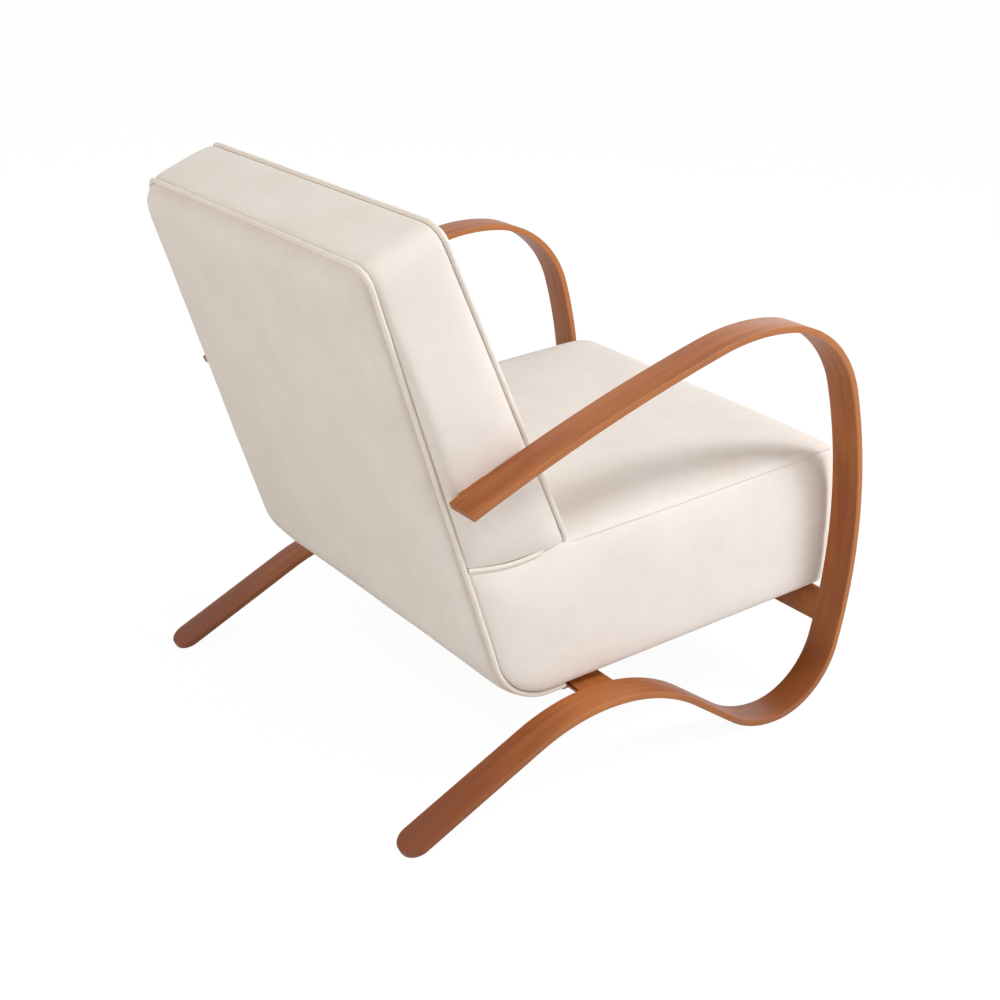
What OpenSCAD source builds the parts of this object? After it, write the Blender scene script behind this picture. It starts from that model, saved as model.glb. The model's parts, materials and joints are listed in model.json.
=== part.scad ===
// Upholstered lounge chair between two bent wood ribbons, sized in millimetres.
// Z is up, the sitter looks towards -Y and +X is the sitter's left.

/* [Ribbons] */
// Width of each ribbon across the chair
ribbon_w = 48; // [44:1:56]
// Thickness of each laminated ribbon
ribbon_t = 9; // [8.5:0.5:11]
// Clear distance between the two ribbons
ribbon_span = 590; // [586:1:640]
// Radius of the loop where the ribbon turns from the floor into the front riser
toe_r = 111; // [108:1:114]
// Turn of the front loop in degrees
toe_turn = 78.6; // [78:0.1:79.2]
// Radius of the front riser
riser_r = 746; // [730:1:760]
// Turn of the front riser in degrees
riser_turn = 30.8; // [30.2:0.1:31.4]
// Radius of the bend at the front of the arm
knee_r = 164.5; // [160:0.5:169]
// Turn of the bend at the front of the arm in degrees
knee_turn = 64.7; // [64:0.1:65.4]
// Radius of the arm's crown
crown_r = 311.5; // [304:0.5:319]
// Turn of the arm's crown in degrees
crown_turn = 22.3; // [21.7:0.1:22.9]
// Radius of the long arm rest
arm_r = 2710; // [2500:10:3000]
// Length of the long arm rest
arm_len = 402; // [396:1:408]
// Radius of the loop behind the floor contact
heel_r = 159; // [155:1:163]
// Turn of the loop behind the floor contact in degrees
heel_turn = 34; // [33.6:0.1:34.4]
// Straight length from that loop to the hump
slope_len = 90; // [86:1:94]
// Radius of the hump below the seat
hump_r = 270; // [262:1:278]
// Slope of the rear leg in degrees
leg_slope = 26.25; // [25.8:0.05:26.7]
// Depth of the flats where the ribbons stand on the floor
floor_flat = 0.5; // [0.3:0.1:0.8]

/* [Body] */
// Width of the upholstered body at its seams
body_w = 553; // [530:1:556]
// Slope of the seat in degrees
seat_tilt = 3.7; // [3.4:0.1:4]
// Height of the seat box across its slope
seat_h = 219; // [214:1:226]
// Distance from the front board to the front of the seat
seat_overhang = 18.5; // [17.5:0.5:20]
// Lean of the back's rear face in degrees
recline = 20; // [19.4:0.1:20.6]
// Height of the rear face from the lower corner to the top
back_h = 645; // [630:1:665]
// Depth of the back at the top
back_top_d = 103; // [100:1:110]
// Extra lean of the back's front face in degrees
back_wedge = 5.9; // [5.6:0.1:6.2]
// Rise of the back's top band towards the front in degrees
top_rise = 3; // [2:0.5:4]
// Radius of the bend under the rear face
tail_r = 93; // [90:1:96]
// Length of the rear cover under the seat
tail_len = 22; // [18:1:26]
// Radius of the upper corners of the back
back_corner_r = 25; // [20:1:30]
// Radius of the upright front corners of the seat
seat_corner_r = 14; // [12:1:18]

/* [Covers] */
// Thickness of a fabric cover with its wadding
cover_t = 4; // [3.5:0.5:5]
// Rise of the seat's top cover at its middle
seat_crown = 18; // [12:1:22]
// Rise of the back's front cover at its middle
back_crown = 12; // [8:1:16]
// Rise of the rear cover at its middle
rear_crown = 20; // [14:1:24]
// Rise of the side and edge bands
band_crown = 7; // [5:0.5:8]
// Diameter of the piping
piping_d = 5.5; // [5:0.25:6]
// Free distance between soft pieces
soft_gap = 0.3; // [0.25:0.05:0.4]

/* [Joints] */
// Depth of the front board's and rear board's tongues in the ribbons
tongue_in = 20; // [16:1:26]
// Thickness of those tongues
tongue_t = 4; // [3.5:0.25:4.5]
// Free distance round a tongue
tongue_gap = 0.15; // [0.1:0.05:0.2]
// Height of the front board below the seat
front_rail_h = 44; // [40:1:48]
// Free distance from the rear cover's tail to the rear board
tail_clear = 7.5; // [6:0.5:9]
// Width of the rear board along the chair
rear_rail_w = 61; // [57:1:64]
// Thickness of the rear board
rear_rail_t = 20; // [18:1:23]
// Length of the block at the arm's rear end
arm_block_l = 36; // [32:1:38]
// Thickness of the steel plate under the arm's end
plate_t = 3; // [2.5:0.5:4]
// Distance from the arm's end to the middle of the block
arm_block_in = 36; // [34:1:40]

/* [Frame] */
// Thickness of the frame boards
board_t = 24; // [22:1:26]
// Height of the seat frame
seat_rail_h = 120; // [114:1:126]
// Depth of the back uprights
upright_d = 50; // [46:1:54]
// Height of the back's cross rails
back_rail_h = 70; // [60:1:80]
// Distance from the rear face to the uprights
upright_in = 18; // [17:0.5:20]
// Thickness of the webbing
web_t = 1.5; // [1:0.25:2]
// Width of the webbing bands
web_w = 60; // [50:1:66]
// Thickness of the firm foam on the webbing
core_t = 46; // [40:1:52]
// Thickness of the dust cover
dust_t = 1; // [0.75:0.25:1.5]

/* [Fasteners] */
// Diameter of the frame bolts
bolt_d = 8; // [8:1:9]
// Diameter of the arm block bolts
arm_bolt_d = 5; // [4:0.5:5.5]
// Diameter of the wood screws
screw_d = 4; // [3.5:0.25:4.5]
// Free distance round a bolt or screw
hole_gap = 0.2; // [0.1:0.05:0.3]

/* [Hidden] */
$fa = 1;
$fs = 0.6;
tiny = 1;
far = 2000;
wood = [0.62, 0.34, 0.2];
frame_wood = [0.8, 0.68, 0.5];
fabric = [0.9, 0.87, 0.82];
foam = [0.93, 0.86, 0.62];
steel = [0.6, 0.62, 0.64];
jute = [0.72, 0.6, 0.42];
dark_cloth = [0.2, 0.2, 0.2];

// Points of the side view are [forward, up] from the loops' floor contact.
function heading(a) = [cos(a), sin(a)];
function left_of(a) = [-sin(a), cos(a)];
function arc_end(p, a, r, turn) = p + sign(turn) * r * (left_of(a) - left_of(a + turn));
function meet(p, a, q, b) =
    let (d = q - p, k = (d[0] * sin(b) - d[1] * cos(b)) / sin(b - a))
    p + k * heading(a);

// Ribbon centre line from the floor contact forwards and up to the arm's end.
// The contact is lowered by the depth of the flat that the floor cuts.
contact = [0, ribbon_t / 2 - floor_flat];
toe_end = arc_end(contact, 0, toe_r, toe_turn);
riser_end = arc_end(toe_end, toe_turn, riser_r, riser_turn);
riser_top_a = toe_turn + riser_turn;
knee_end = arc_end(riser_end, riser_top_a, knee_r, knee_turn);
knee_a = riser_top_a + knee_turn;
crown_end = arc_end(knee_end, knee_a, crown_r, crown_turn);
crown_a = knee_a + crown_turn;
arm_turn = arm_len / arm_r * 180 / PI;
arm_end = arc_end(crown_end, crown_a, arm_r, arm_turn);
arm_end_a = crown_a + arm_turn;

// Ribbon centre line from the floor contact backwards, over the hump, to the foot.
heel_end = arc_end(contact, 180, heel_r, -heel_turn);
slope_a = 180 - heel_turn;
slope_end = heel_end + slope_len * heading(slope_a);
hump_turn = heel_turn + leg_slope;
hump_end = arc_end(slope_end, slope_a, hump_r, hump_turn);
leg_a = slope_a + hump_turn;
hump_top = slope_end + hump_r * left_of(slope_a) + [0, hump_r];
tip_v = ribbon_t / 2 * cos(leg_slope) - floor_flat;
leg_len = (hump_end[1] - tip_v) / sin(leg_slope);
leg_end = hump_end + leg_len * heading(leg_a);

// Front board, on the riser's own line.
front_rail_up = 45;
front_rail_s = front_rail_up / riser_r * 180 / PI;
front_rail_a = toe_turn + front_rail_s;
front_rail_p = arc_end(toe_end, toe_turn, riser_r, front_rail_s);

// Rear board, on the hump, just in front of the rear cover's tail.
seat_over_tongue = 6.8;
rear_a = 90 + recline;
back_lean = recline - seat_tilt;
tail_turn = 90 - back_lean;
tail_tangent = tail_r * tan(tail_turn / 2);
tail_arc = tail_r * tail_turn * PI / 180;
tail_on_hump = meet(arm_end, rear_a, hump_top + [0, seat_over_tongue], seat_tilt);
rear_rail_fwd = tail_on_hump[0] - hump_top[0]
    + (tail_tangent + tail_len + tail_clear + rear_rail_w / 2) * cos(seat_tilt);
rear_rail_turn = asin(rear_rail_fwd / hump_r);
rear_rail_p = hump_top + hump_r * [sin(rear_rail_turn), cos(rear_rail_turn) - 1];

// Seat and back corners.
seat_line_p = rear_rail_p + [0, seat_over_tongue];
seat_front_v = seat_line_p[1]
    + (front_rail_p[0] + seat_overhang - seat_line_p[0]) * tan(seat_tilt);
seat_front = [front_rail_p[0] + seat_overhang, seat_front_v];
tail_corner = meet(arm_end, rear_a, seat_front, seat_tilt);
seat_depth = norm(seat_front - tail_corner);
body_half = body_w / 2;
ribbon_in = ribbon_span / 2;
ribbon_mid = ribbon_in + ribbon_w / 2;
piping_r = piping_d / 2;
piping_in = 1;
edge_in = piping_r + piping_in + soft_gap;

// Back in its own frame: first number forward of the rear face, second up along it.
back_front_top = [back_top_d * cos(top_rise), back_h + back_top_d * sin(top_rise)];
function back_front_x(y) = back_front_top[0] + (back_front_top[1] - y) * tan(back_wedge);
function seam_y(x) = (seat_h - x * sin(back_lean)) / cos(back_lean);
back_foot_y = (seat_h / cos(back_lean) - back_front_top[0] * tan(back_lean)
    - back_front_top[1] * tan(back_wedge) * tan(back_lean))
    / (1 - tan(back_wedge) * tan(back_lean));
back_foot_x = back_front_x(back_foot_y) * cos(back_lean) - back_foot_y * sin(back_lean);
front_len = (back_front_top[1] - back_foot_y) / cos(back_wedge);

// Middle of the whole part along the chair.
bulge_steps = 12;
front_most = max([for (k = [0:bulge_steps]) let (t = k / bulge_steps)
    seat_front[0] + band_crown * puff(t, 4) * cos(seat_tilt)
    - (seat_h - cover_t) * t * sin(seat_tilt)]);
back_top_rear = tail_corner + back_h * heading(rear_a);
rear_most = back_top_rear[0] + piping_in * (cos(recline) + sin(recline)) - piping_r;
mid_s = (front_most + rear_most) / 2;

function puff(t, p) = 1 - pow(abs(2 * t - 1), p);
function mix(a, b, t) = a + (b - a) * t;

// Side view frame: children's X is forward, Y is up and Z is towards the sitter's right.
module side() {
    rotate([90, 0, -90])
        translate([-mid_s, 0, 0])
            children();
}

module in_seat() {
    side()
        translate([seat_front[0], seat_front[1], 0])
            rotate(seat_tilt)
                children();
}

module in_back() {
    side()
        translate([tail_corner[0], tail_corner[1], 0])
            rotate(recline)
                children();
}

module in_front_face() {
    in_back()
        translate([back_front_top[0], back_front_top[1], 0])
            rotate(back_wedge)
                children();
}

module both_sides() {
    children();
    mirror([0, 0, 1])
        children();
}

module slab(from, to) {
    translate([0, 0, from])
        linear_extrude(to - from)
            children();
}

// Closed padded panel: a grid of outer points over a grid of inner points.
module quilt(rows, cols, outer, inner) {
    cells = [for (i = [0:rows - 1]) for (j = [0:cols - 1]) [i, j]];
    wide = cols + 1;
    back = (rows + 1) * wide;
    points = concat(
        [for (i = [0:rows]) for (j = [0:cols]) outer(i, j)],
        [for (i = [0:rows]) for (j = [0:cols]) inner(i, j)]);
    front_faces = [for (c = cells) let (k = c[0] * wide + c[1])
        each [[k, k + 1, k + wide + 1], [k, k + wide + 1, k + wide]]];
    back_faces = [for (f = front_faces) [f[2] + back, f[1] + back, f[0] + back]];
    rim = concat(
        [for (j = [0:cols - 1]) [j, j + 1]],
        [for (i = [0:rows - 1]) [i * wide + cols, (i + 1) * wide + cols]],
        [for (j = [cols:-1:1]) [rows * wide + j, rows * wide + j - 1]],
        [for (i = [rows:-1:1]) [i * wide, (i - 1) * wide]]);
    rim_faces = [for (e = rim)
        each [[e[1], e[0], e[0] + back], [e[1], e[0] + back, e[1] + back]]];
    polyhedron(points, concat(front_faces, back_faces, rim_faces), convexity = 8);
}

// Distances of a panel's rows from its rounded end.
corner_rows = 3;
function row_at(i, rows, r, len) = i <= corner_rows
    ? r * (1 - cos(90 * i / corner_rows))
    : r + (len - r) * (i - corner_rows) / (rows - corner_rows);
function row_half(d, half, r) = d >= r ? half : half - r + sqrt(r * r - (r - d) * (r - d));

// Station i of a band that goes up one side, across and down the other side:
// [sideways, along, sideways part and along part of its outward normal].
side_steps = 9;
bend_steps = 3;
across_steps = 8;
band_steps = 2 * side_steps + 2 * bend_steps + across_steps;
function band_half(i, half, low, high, r) =
    i <= side_steps ? [-half, mix(low, high - r, i / side_steps), -1, 0]
    : i <= side_steps + bend_steps
        ? let (a = 90 * (i - side_steps) / bend_steps)
            [-half + r - r * cos(a), high - r + r * sin(a), -cos(a), sin(a)]
        : let (t = (i - side_steps - bend_steps) / across_steps)
            [(half - r) * (2 * t - 1), high, 0, 1];
function band_at(i, half, low, high, r) = i <= band_steps / 2
    ? band_half(i, half, low, high, r)
    : let (p = band_half(band_steps - i, half, low, high, r)) [-p[0], p[1], -p[2], p[3]];
function band_end_puff(i) = puff(i / band_steps, 24);

// Ribbons

// Stations [point, heading] along an arc, close enough that its flats stay within the sag.
sag = 0.05;
function arc_steps(r, turn) = ceil(abs(turn) / (2 * acos(1 - sag / r)));
function arc_stations(p, a, r, turn) = let (n = arc_steps(r, turn))
    [for (k = [1:n]) [arc_end(p, a, r, turn * k / n), a + turn * k / n]];
function turned(list) = [for (k = [len(list) - 1:-1:0]) [list[k][0], list[k][1] - 180]];

// From the foot's tip over the hump and the floor contact up to the arm's end.
stations = concat(
    turned(concat(
        arc_stations(contact, 180, heel_r, -heel_turn),
        arc_stations(slope_end, slope_a, hump_r, hump_turn),
        [[leg_end, leg_a]])),
    [[contact, 0]],
    arc_stations(contact, 0, toe_r, toe_turn),
    arc_stations(toe_end, toe_turn, riser_r, riser_turn),
    arc_stations(riser_end, riser_top_a, knee_r, knee_turn),
    arc_stations(knee_end, knee_a, crown_r, crown_turn),
    arc_stations(crown_end, crown_a, arm_r, arm_turn));
ribbon_outline = concat(
    [for (s = stations) s[0] - ribbon_t / 2 * left_of(s[1])],
    [for (k = [len(stations) - 1:-1:0])
        stations[k][0] + ribbon_t / 2 * left_of(stations[k][1])]);

module ribbon_blank() {
    linear_extrude(ribbon_w, center = true)
        polygon(ribbon_outline);
}

// Cutter that rounds the foot's tip like a tongue.
module tip_cutter() {
    translate([leg_end[0], leg_end[1], 0])
        rotate(leg_a)
            rotate([90, 0, 0])
                linear_extrude(4 * ribbon_t, center = true)
                    difference() {
                        translate([-ribbon_w / 2, -ribbon_w])
                            square([ribbon_w, 2 * ribbon_w]);
                        translate([-ribbon_w / 2, 0])
                            circle(d = ribbon_w);
                        translate([-ribbon_w, -ribbon_w / 2])
                            square([ribbon_w / 2, ribbon_w]);
                    }
}

// Front board's place: X along the riser, Y towards the chair's rear.
module at_front_rail() {
    translate([front_rail_p[0], front_rail_p[1], 0])
        rotate(front_rail_a)
            children();
}

// Rear board's place: X forward along the hump's top, Y up.
module at_rear_rail() {
    translate([rear_rail_p[0], rear_rail_p[1], 0])
        rotate(-rear_rail_turn)
            children();
}

front_rail_low = front_rail_h / 2 + 1;
tongue_cut = 5;

module front_tongue(gap) {
    at_front_rail()
        translate([-front_rail_low + tongue_cut - gap, -tongue_t / 2 - gap])
            square([front_rail_h - 2 * tongue_cut + 2 * gap, tongue_t + 2 * gap]);
}

module rear_tongue(gap) {
    at_rear_rail()
        translate([-rear_rail_w / 2 - gap, -tongue_t / 2 - gap])
            square([rear_rail_w + 2 * gap, tongue_t + 2 * gap]);
}

// Arm block's place: X forward along the arm, Y up, at the arm's rear end.
arm_block_turn = arm_block_in / arm_r * 180 / PI;
arm_block_a = arm_end_a - arm_block_turn - 180;
arm_block_p = arc_end(crown_end, crown_a, arm_r, arm_turn - arm_block_turn);

module at_arm_block() {
    side()
        translate([arm_block_p[0], arm_block_p[1], 0])
            rotate(arm_block_a)
                children();
}

frame_side = 36.5;
upright_out = body_half - frame_side;
upright_inner = upright_out - board_t;
plate_edge = 4;
plate_screw_in = 9;
plate_from = upright_out + plate_edge;
plate_to = ribbon_in + ribbon_w - 2 * plate_edge;
plate_under = ribbon_t / 2 + plate_t;
arm_screw_zs = [ribbon_in + plate_screw_in, plate_to - plate_screw_in];
block_screw_zs = [plate_from + plate_screw_in, ribbon_in - plate_screw_in];
arm_screw_l = 6;

// Countersunk wood screw with its head's face at height 0, its shank going up.
module wood_screw(len, gap) {
    head = screw_d;
    rotate_extrude()
        polygon([
            [0, -gap], [head + 2 * gap, -gap], [screw_d / 2 + gap, screw_d / 2 + gap],
            [screw_d / 2 + gap, len - screw_d / 2 + gap], [0, len + gap]
        ]);
}

module arm_plate_screw_set(gap) {
    at_arm_block()
        for (z = concat(arm_screw_zs, block_screw_zs))
            translate([0, -plate_under, z])
                rotate([-90, 0, 0])
                    wood_screw(plate_t + arm_screw_l, gap);
}

module right_ribbon() {
    color(wood)
        difference() {
            side()
                translate([0, 0, ribbon_mid])
                    ribbon_blank();
            side()
                translate([0, 0, ribbon_mid])
                    tip_cutter();
            side()
                slab(ribbon_in - tiny, ribbon_in + tongue_in + soft_gap) {
                    front_tongue(tongue_gap);
                    rear_tongue(tongue_gap);
                }
            arm_plate_screw_set(hole_gap);
            translate([-far / 2, -far / 2, -far])
                cube(far);
        }
}

module right_arm_leg() {
    right_ribbon();
}

module left_arm_leg() {
    mirror([1, 0, 0])
        right_ribbon();
}

// Cross rails

frame_low = cover_t + soft_gap;
rear_rail_x = (rear_rail_p[0] - seat_front[0]) / cos(seat_tilt);
board_step = 1;
block_w = 36;
block_side = 14;
block_out = body_half - block_side;
block_screw_apart = 16;
block_d = 13;
block_h = 18;
block_screw_l = 34;
rail_screw_l = 19;
// Middle of each block, behind the board and just under the seat frame.
block_p = meet(front_rail_p + (ribbon_t / 2 + block_d / 2) * left_of(front_rail_a), front_rail_a,
    seat_front + (frame_low - block_h / 2) * left_of(seat_tilt), seat_tilt);
block_screw_x = (block_p - seat_front) * heading(seat_tilt);
board_screw_up = (block_p - front_rail_p) * heading(front_rail_a);

// Straight flank of the front board, cut level with the seat frame.
module front_board(top) {
    intersection() {
        at_front_rail()
            translate([-front_rail_low, -ribbon_t / 2])
                square([2 * front_rail_h, ribbon_t]);
        translate([seat_front[0], seat_front[1]])
            rotate(seat_tilt)
                translate([-seat_depth, top - seat_h])
                    square([2 * seat_depth, seat_h]);
    }
}

module front_rail() {
    color(wood)
        difference() {
            side()
                union() {
                    slab(-ribbon_in, ribbon_in)
                        front_board(-board_step);
                    slab(-block_out, block_out)
                        front_board(frame_low);
                    slab(-ribbon_in - tongue_in, ribbon_in + tongue_in)
                        front_tongue(0);
                }
            front_rail_screw_set(hole_gap);
        }
}

module block_profile() {
    intersection() {
        at_front_rail()
            translate([-front_rail_h / 2, ribbon_t / 2])
                square([2 * front_rail_h, block_d]);
        translate([seat_front[0], seat_front[1]])
            rotate(seat_tilt)
                translate([-seat_depth, frame_low - block_h])
                    square([seat_depth, block_h]);
    }
}

module front_rail_blocks() {
    color(wood)
        difference() {
            side()
                both_sides()
                    slab(block_out - block_w, block_out)
                        block_profile();
            front_rail_screw_set(hole_gap);
        }
}

// One screw up through each block into the seat frame, one through it into the board.
block_mid = block_out - block_w / 2;

module front_rail_screw_set(gap) {
    in_seat()
        both_sides() {
            translate([block_screw_x, frame_low - block_h, block_mid - block_screw_apart / 2])
                rotate([-90, 0, 0])
                    wood_screw(block_screw_l, gap);
        }
    side()
        both_sides()
            at_front_rail()
                translate([board_screw_up, ribbon_t / 2 + block_d, block_mid + block_screw_apart / 2])
                    rotate([90, 0, 0])
                        wood_screw(rail_screw_l, gap);
}

module front_rail_screws() {
    color(steel)
        front_rail_screw_set(0);
}

module rear_rail() {
    color(wood)
        difference() {
            union() {
                side()
                    slab(-ribbon_in - tongue_in, ribbon_in + tongue_in)
                        rear_tongue(0);
                in_seat()
                    slab(-block_out, block_out)
                        translate([rear_rail_x - rear_rail_w / 2, frame_low - rear_rail_t])
                            square([rear_rail_w, rear_rail_t]);
            }
            rear_rail_bolt_set(hole_gap);
        }
}

// Rear board bolts run up into barrel nuts in the seat rails.
bolt_head_h = 5.5;
bolt_head_d = 1.6 * bolt_d;
barrel_d = 14;
barrel_short = 4;
barrel_l = board_t - barrel_short;
barrel_up = 42;
barrel_past = 12;
rear_bolt_l = rear_rail_t + barrel_up + barrel_past;
rail_z = upright_out + board_t / 2;

module rear_rail_bolt_set(gap) {
    in_seat()
        both_sides()
            translate([rear_rail_x, frame_low - rear_rail_t - gap, rail_z])
                rotate([-90, 0, 0])
                    cylinder(h = rear_bolt_l + 2 * gap, d = bolt_d + 2 * gap);
}

module rear_rail_bolts() {
    color(steel) {
        rear_rail_bolt_set(0);
        in_seat()
            both_sides()
                translate([rear_rail_x, frame_low - rear_rail_t - bolt_head_h, rail_z])
                    rotate([-90, 0, 0])
                        cylinder(h = bolt_head_h, d = bolt_head_d, $fn = 6);
    }
}

module barrel_set(gap, extra) {
    in_seat()
        both_sides()
            translate([rear_rail_x, frame_low + barrel_up, upright_out - extra])
                cylinder(h = barrel_l + extra + gap, d = barrel_d + 2 * gap);
}

module rear_rail_nuts() {
    color(steel)
        difference() {
            barrel_set(0, 0);
            rear_rail_bolt_set(hole_gap);
        }
}

// Arm joints

arm_bolt_l = 52;
arm_bolt_head_h = 3.5;
arm_bolt_xs = [-arm_block_l / 4, arm_block_l / 4];

module arm_bolt_set(gap) {
    at_arm_block()
        for (x = arm_bolt_xs)
            translate([x, 0, upright_inner - gap])
                cylinder(h = arm_bolt_l + 2 * gap, d = arm_bolt_d + 2 * gap);
}

module right_arm_block() {
    color(wood)
        difference() {
            at_arm_block()
                slab(upright_out, ribbon_in)
                    translate([-arm_block_l / 2, -ribbon_t / 2])
                        square([arm_block_l, ribbon_t]);
            arm_bolt_set(hole_gap);
            arm_plate_screw_set(hole_gap);
        }
}

module left_arm_block() {
    mirror([1, 0, 0])
        right_arm_block();
}

module right_arm_plate() {
    color(steel)
        difference() {
            at_arm_block()
                slab(plate_from, plate_to)
                    translate([-arm_block_l / 2 + plate_edge, -plate_under])
                        square([arm_block_l - 2 * plate_edge, plate_t]);
            arm_plate_screw_set(hole_gap);
        }
}

module left_arm_plate() {
    mirror([1, 0, 0])
        right_arm_plate();
}

module arm_plate_screws() {
    color(steel) {
        arm_plate_screw_set(0);
        mirror([1, 0, 0])
            arm_plate_screw_set(0);
    }
}

module arm_block_bolts() {
    color(steel)
        for (m = [0, 1])
            mirror([m, 0, 0]) {
                arm_bolt_set(0);
                at_arm_block()
                    for (x = arm_bolt_xs)
                        translate([x, 0, upright_inner - arm_bolt_head_h])
                            cylinder(h = arm_bolt_head_h, d = arm_bolt_head_d, $fn = 6);
            }
}

// Slot through the soft side for the block and its plate.
slot_gap = 0.5;

module arm_slots() {
    for (m = [0, 1])
        mirror([m, 0, 0])
            at_arm_block()
                slab(upright_out, ribbon_in)
                    translate([-arm_block_l / 2 - slot_gap, -plate_under - slot_gap])
                        square([arm_block_l + 2 * slot_gap,
                            plate_under + ribbon_t / 2 + 2 * slot_gap]);
}

// Seat frame

frame_half = upright_out + board_t;
pad_out = body_half - cover_t - soft_gap;
front_pad_t = 8;
seat_rail_top = frame_low + seat_rail_h;
front_pad_x = -cover_t - soft_gap;
frame_front_x = front_pad_x - front_pad_t;
frame_rear = 5;
rear_board_x = -seat_depth + tail_tangent + frame_rear;
rail_rear_x = -seat_depth - frame_rear;
tail_pad_r = tail_r - cover_t - soft_gap;
tail_pad_t = 8;
tail_x = -seat_depth + tail_tangent;

// Side rail with its lower rear corner rounded inside the bend of the rear cover.
module seat_rail_profile() {
    intersection() {
        translate([rail_rear_x, frame_low])
            square([frame_front_x - board_t - rail_rear_x, seat_rail_h]);
        union() {
            translate([tail_x, 0])
                square([seat_depth, seat_h]);
            translate([-2 * seat_depth, tail_r])
                square([2 * seat_depth, seat_h]);
            translate([tail_x, tail_r])
                circle(r = tail_pad_r - tail_pad_t - tiny);
        }
    }
}

module right_seat_rail() {
    color(frame_wood)
        difference() {
            in_seat()
                slab(upright_out, frame_half)
                    seat_rail_profile();
            rear_rail_bolt_set(hole_gap);
            barrel_set(hole_gap, tiny);
            upright_bolt_set(hole_gap);
        }
}

module left_seat_rail() {
    mirror([1, 0, 0])
        right_seat_rail();
}

module seat_front_rail() {
    color(frame_wood)
        difference() {
            in_seat()
                slab(-frame_half, frame_half)
                    translate([frame_front_x - board_t, frame_low])
                        square([board_t, seat_rail_h]);
            front_rail_screw_set(hole_gap);
        }
}

module seat_rear_rail() {
    color(frame_wood)
        in_seat()
            slab(-upright_out, upright_out)
                translate([rear_board_x, frame_low])
                    square([board_t, seat_rail_h]);
}

corner_block = 60;
corner_block_h = 70;
corner_block_up = 20;

// Triangular blocks glued into the frame's four inner corners.
module seat_corner_blocks() {
    color(frame_wood)
        in_seat()
            both_sides() {
                translate([frame_front_x - board_t, frame_low + corner_block_up, upright_out])
                    rotate([-90, 0, 0])
                        linear_extrude(corner_block_h)
                            polygon([[0, 0], [-corner_block, 0], [0, corner_block]]);
                translate([rear_board_x + board_t, frame_low + corner_block_up, upright_out])
                    rotate([-90, 0, 0])
                        linear_extrude(corner_block_h)
                            polygon([[0, 0], [corner_block, 0], [0, corner_block]]);
            }
}

// Back frame

upright_low = 50;
top_pad_t = 8;
upright_top = back_h - cover_t - soft_gap - top_pad_t - tiny;
bolt_up_from = 25;
bolt_up_step = 30;
nut_past = 9;
upright_bolt_l = 2 * board_t + nut_past;
washer_head_d = bolt_head_d + 2;
nut_h = 6.5;
upright_bolt_xy = [for (k = [0, 1])
    [upright_in + upright_d / 2, upright_low + bolt_up_from + k * bolt_up_step]];

module upright_bolt_set(gap) {
    in_back()
        both_sides()
            for (p = upright_bolt_xy)
                translate([p[0], p[1], frame_half - upright_bolt_l - gap])
                    cylinder(h = upright_bolt_l + 2 * gap, d = bolt_d + 2 * gap);
}

// Flat head that stays inside the edge padding.
bolt_head_low = 4;

module upright_bolts() {
    color(steel) {
        upright_bolt_set(0);
        in_back()
            both_sides()
                for (p = upright_bolt_xy)
                    translate([p[0], p[1], frame_half])
                        cylinder(h = bolt_head_low, d = washer_head_d, $fn = 6);
    }
}

module upright_nuts() {
    color(steel)
        difference() {
            in_back()
                both_sides()
                    for (p = upright_bolt_xy)
                        translate([p[0], p[1], upright_inner - nut_h])
                            cylinder(h = nut_h, d = washer_head_d, $fn = 6);
            upright_bolt_set(hole_gap);
        }
}

module right_back_upright() {
    color(frame_wood)
        difference() {
            in_back()
                slab(upright_inner, upright_out)
                    translate([upright_in, upright_low])
                        square([upright_d, upright_top - upright_low]);
            upright_bolt_set(hole_gap);
            arm_bolt_set(hole_gap);
        }
}

module left_back_upright() {
    mirror([1, 0, 0])
        right_back_upright();
}

module back_cross_rail(up) {
    color(frame_wood)
        in_back()
            slab(-upright_inner, upright_inner)
                translate([upright_in, up])
                    square([board_t, back_rail_h]);
}

// The lower rail lies below the arm blocks' bolts.
arm_bolt_head_d = 1.7 * arm_bolt_d;
lower_rail_clear = 12;
arm_bolt_low = min([for (x = arm_bolt_xs)
    (arm_block_p + x * heading(arm_block_a) - tail_corner) * left_of(recline)])
    - arm_bolt_head_d / 2;
lower_rail_up = arm_bolt_low - lower_rail_clear - back_rail_h;

module back_top_rail() {
    back_cross_rail(upright_top - back_rail_h);
}

module back_lower_rail() {
    back_cross_rail(lower_rail_up);
}

// Webbing

seat_web_len = frame_front_x - rear_board_x;
web_count = 5;
cross_count = 4;
web_pitch = 84;
cross_pitch = 92;

module seat_webbing_long() {
    color(jute)
        in_seat()
            for (k = [0:web_count - 1])
                translate([rear_board_x, seat_rail_top, (k - (web_count - 1) / 2) * web_pitch - web_w / 2])
                    cube([seat_web_len, web_t, web_w]);
}

module seat_webbing_cross() {
    color(jute)
        in_seat()
            for (k = [0:cross_count - 1])
                translate([rear_board_x + seat_web_len / 2 + (k - (cross_count - 1) / 2) * cross_pitch
                    - web_w / 2, seat_rail_top + web_t, -frame_half])
                    cube([web_w, web_t, 2 * frame_half]);
}

back_web_x = upright_in + upright_d;
back_cross_count = 4;
back_cross_pitch = 92;
web_up = 8;
back_web_low = lower_rail_up;

module back_webbing_long() {
    color(jute)
        in_back()
            for (k = [0:web_count - 2])
                translate([back_web_x + web_t, back_web_low, (k - (web_count - 2) / 2) * web_pitch - web_w / 2])
                    cube([web_t, upright_top - back_web_low, web_w]);
}

module back_webbing_cross() {
    color(jute)
        in_back()
            for (k = [0:back_cross_count - 1])
                translate([back_web_x, back_web_low + web_up + k * back_cross_pitch, -upright_out])
                    cube([web_t, web_w, 2 * upright_out]);
}

// Padding

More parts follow.
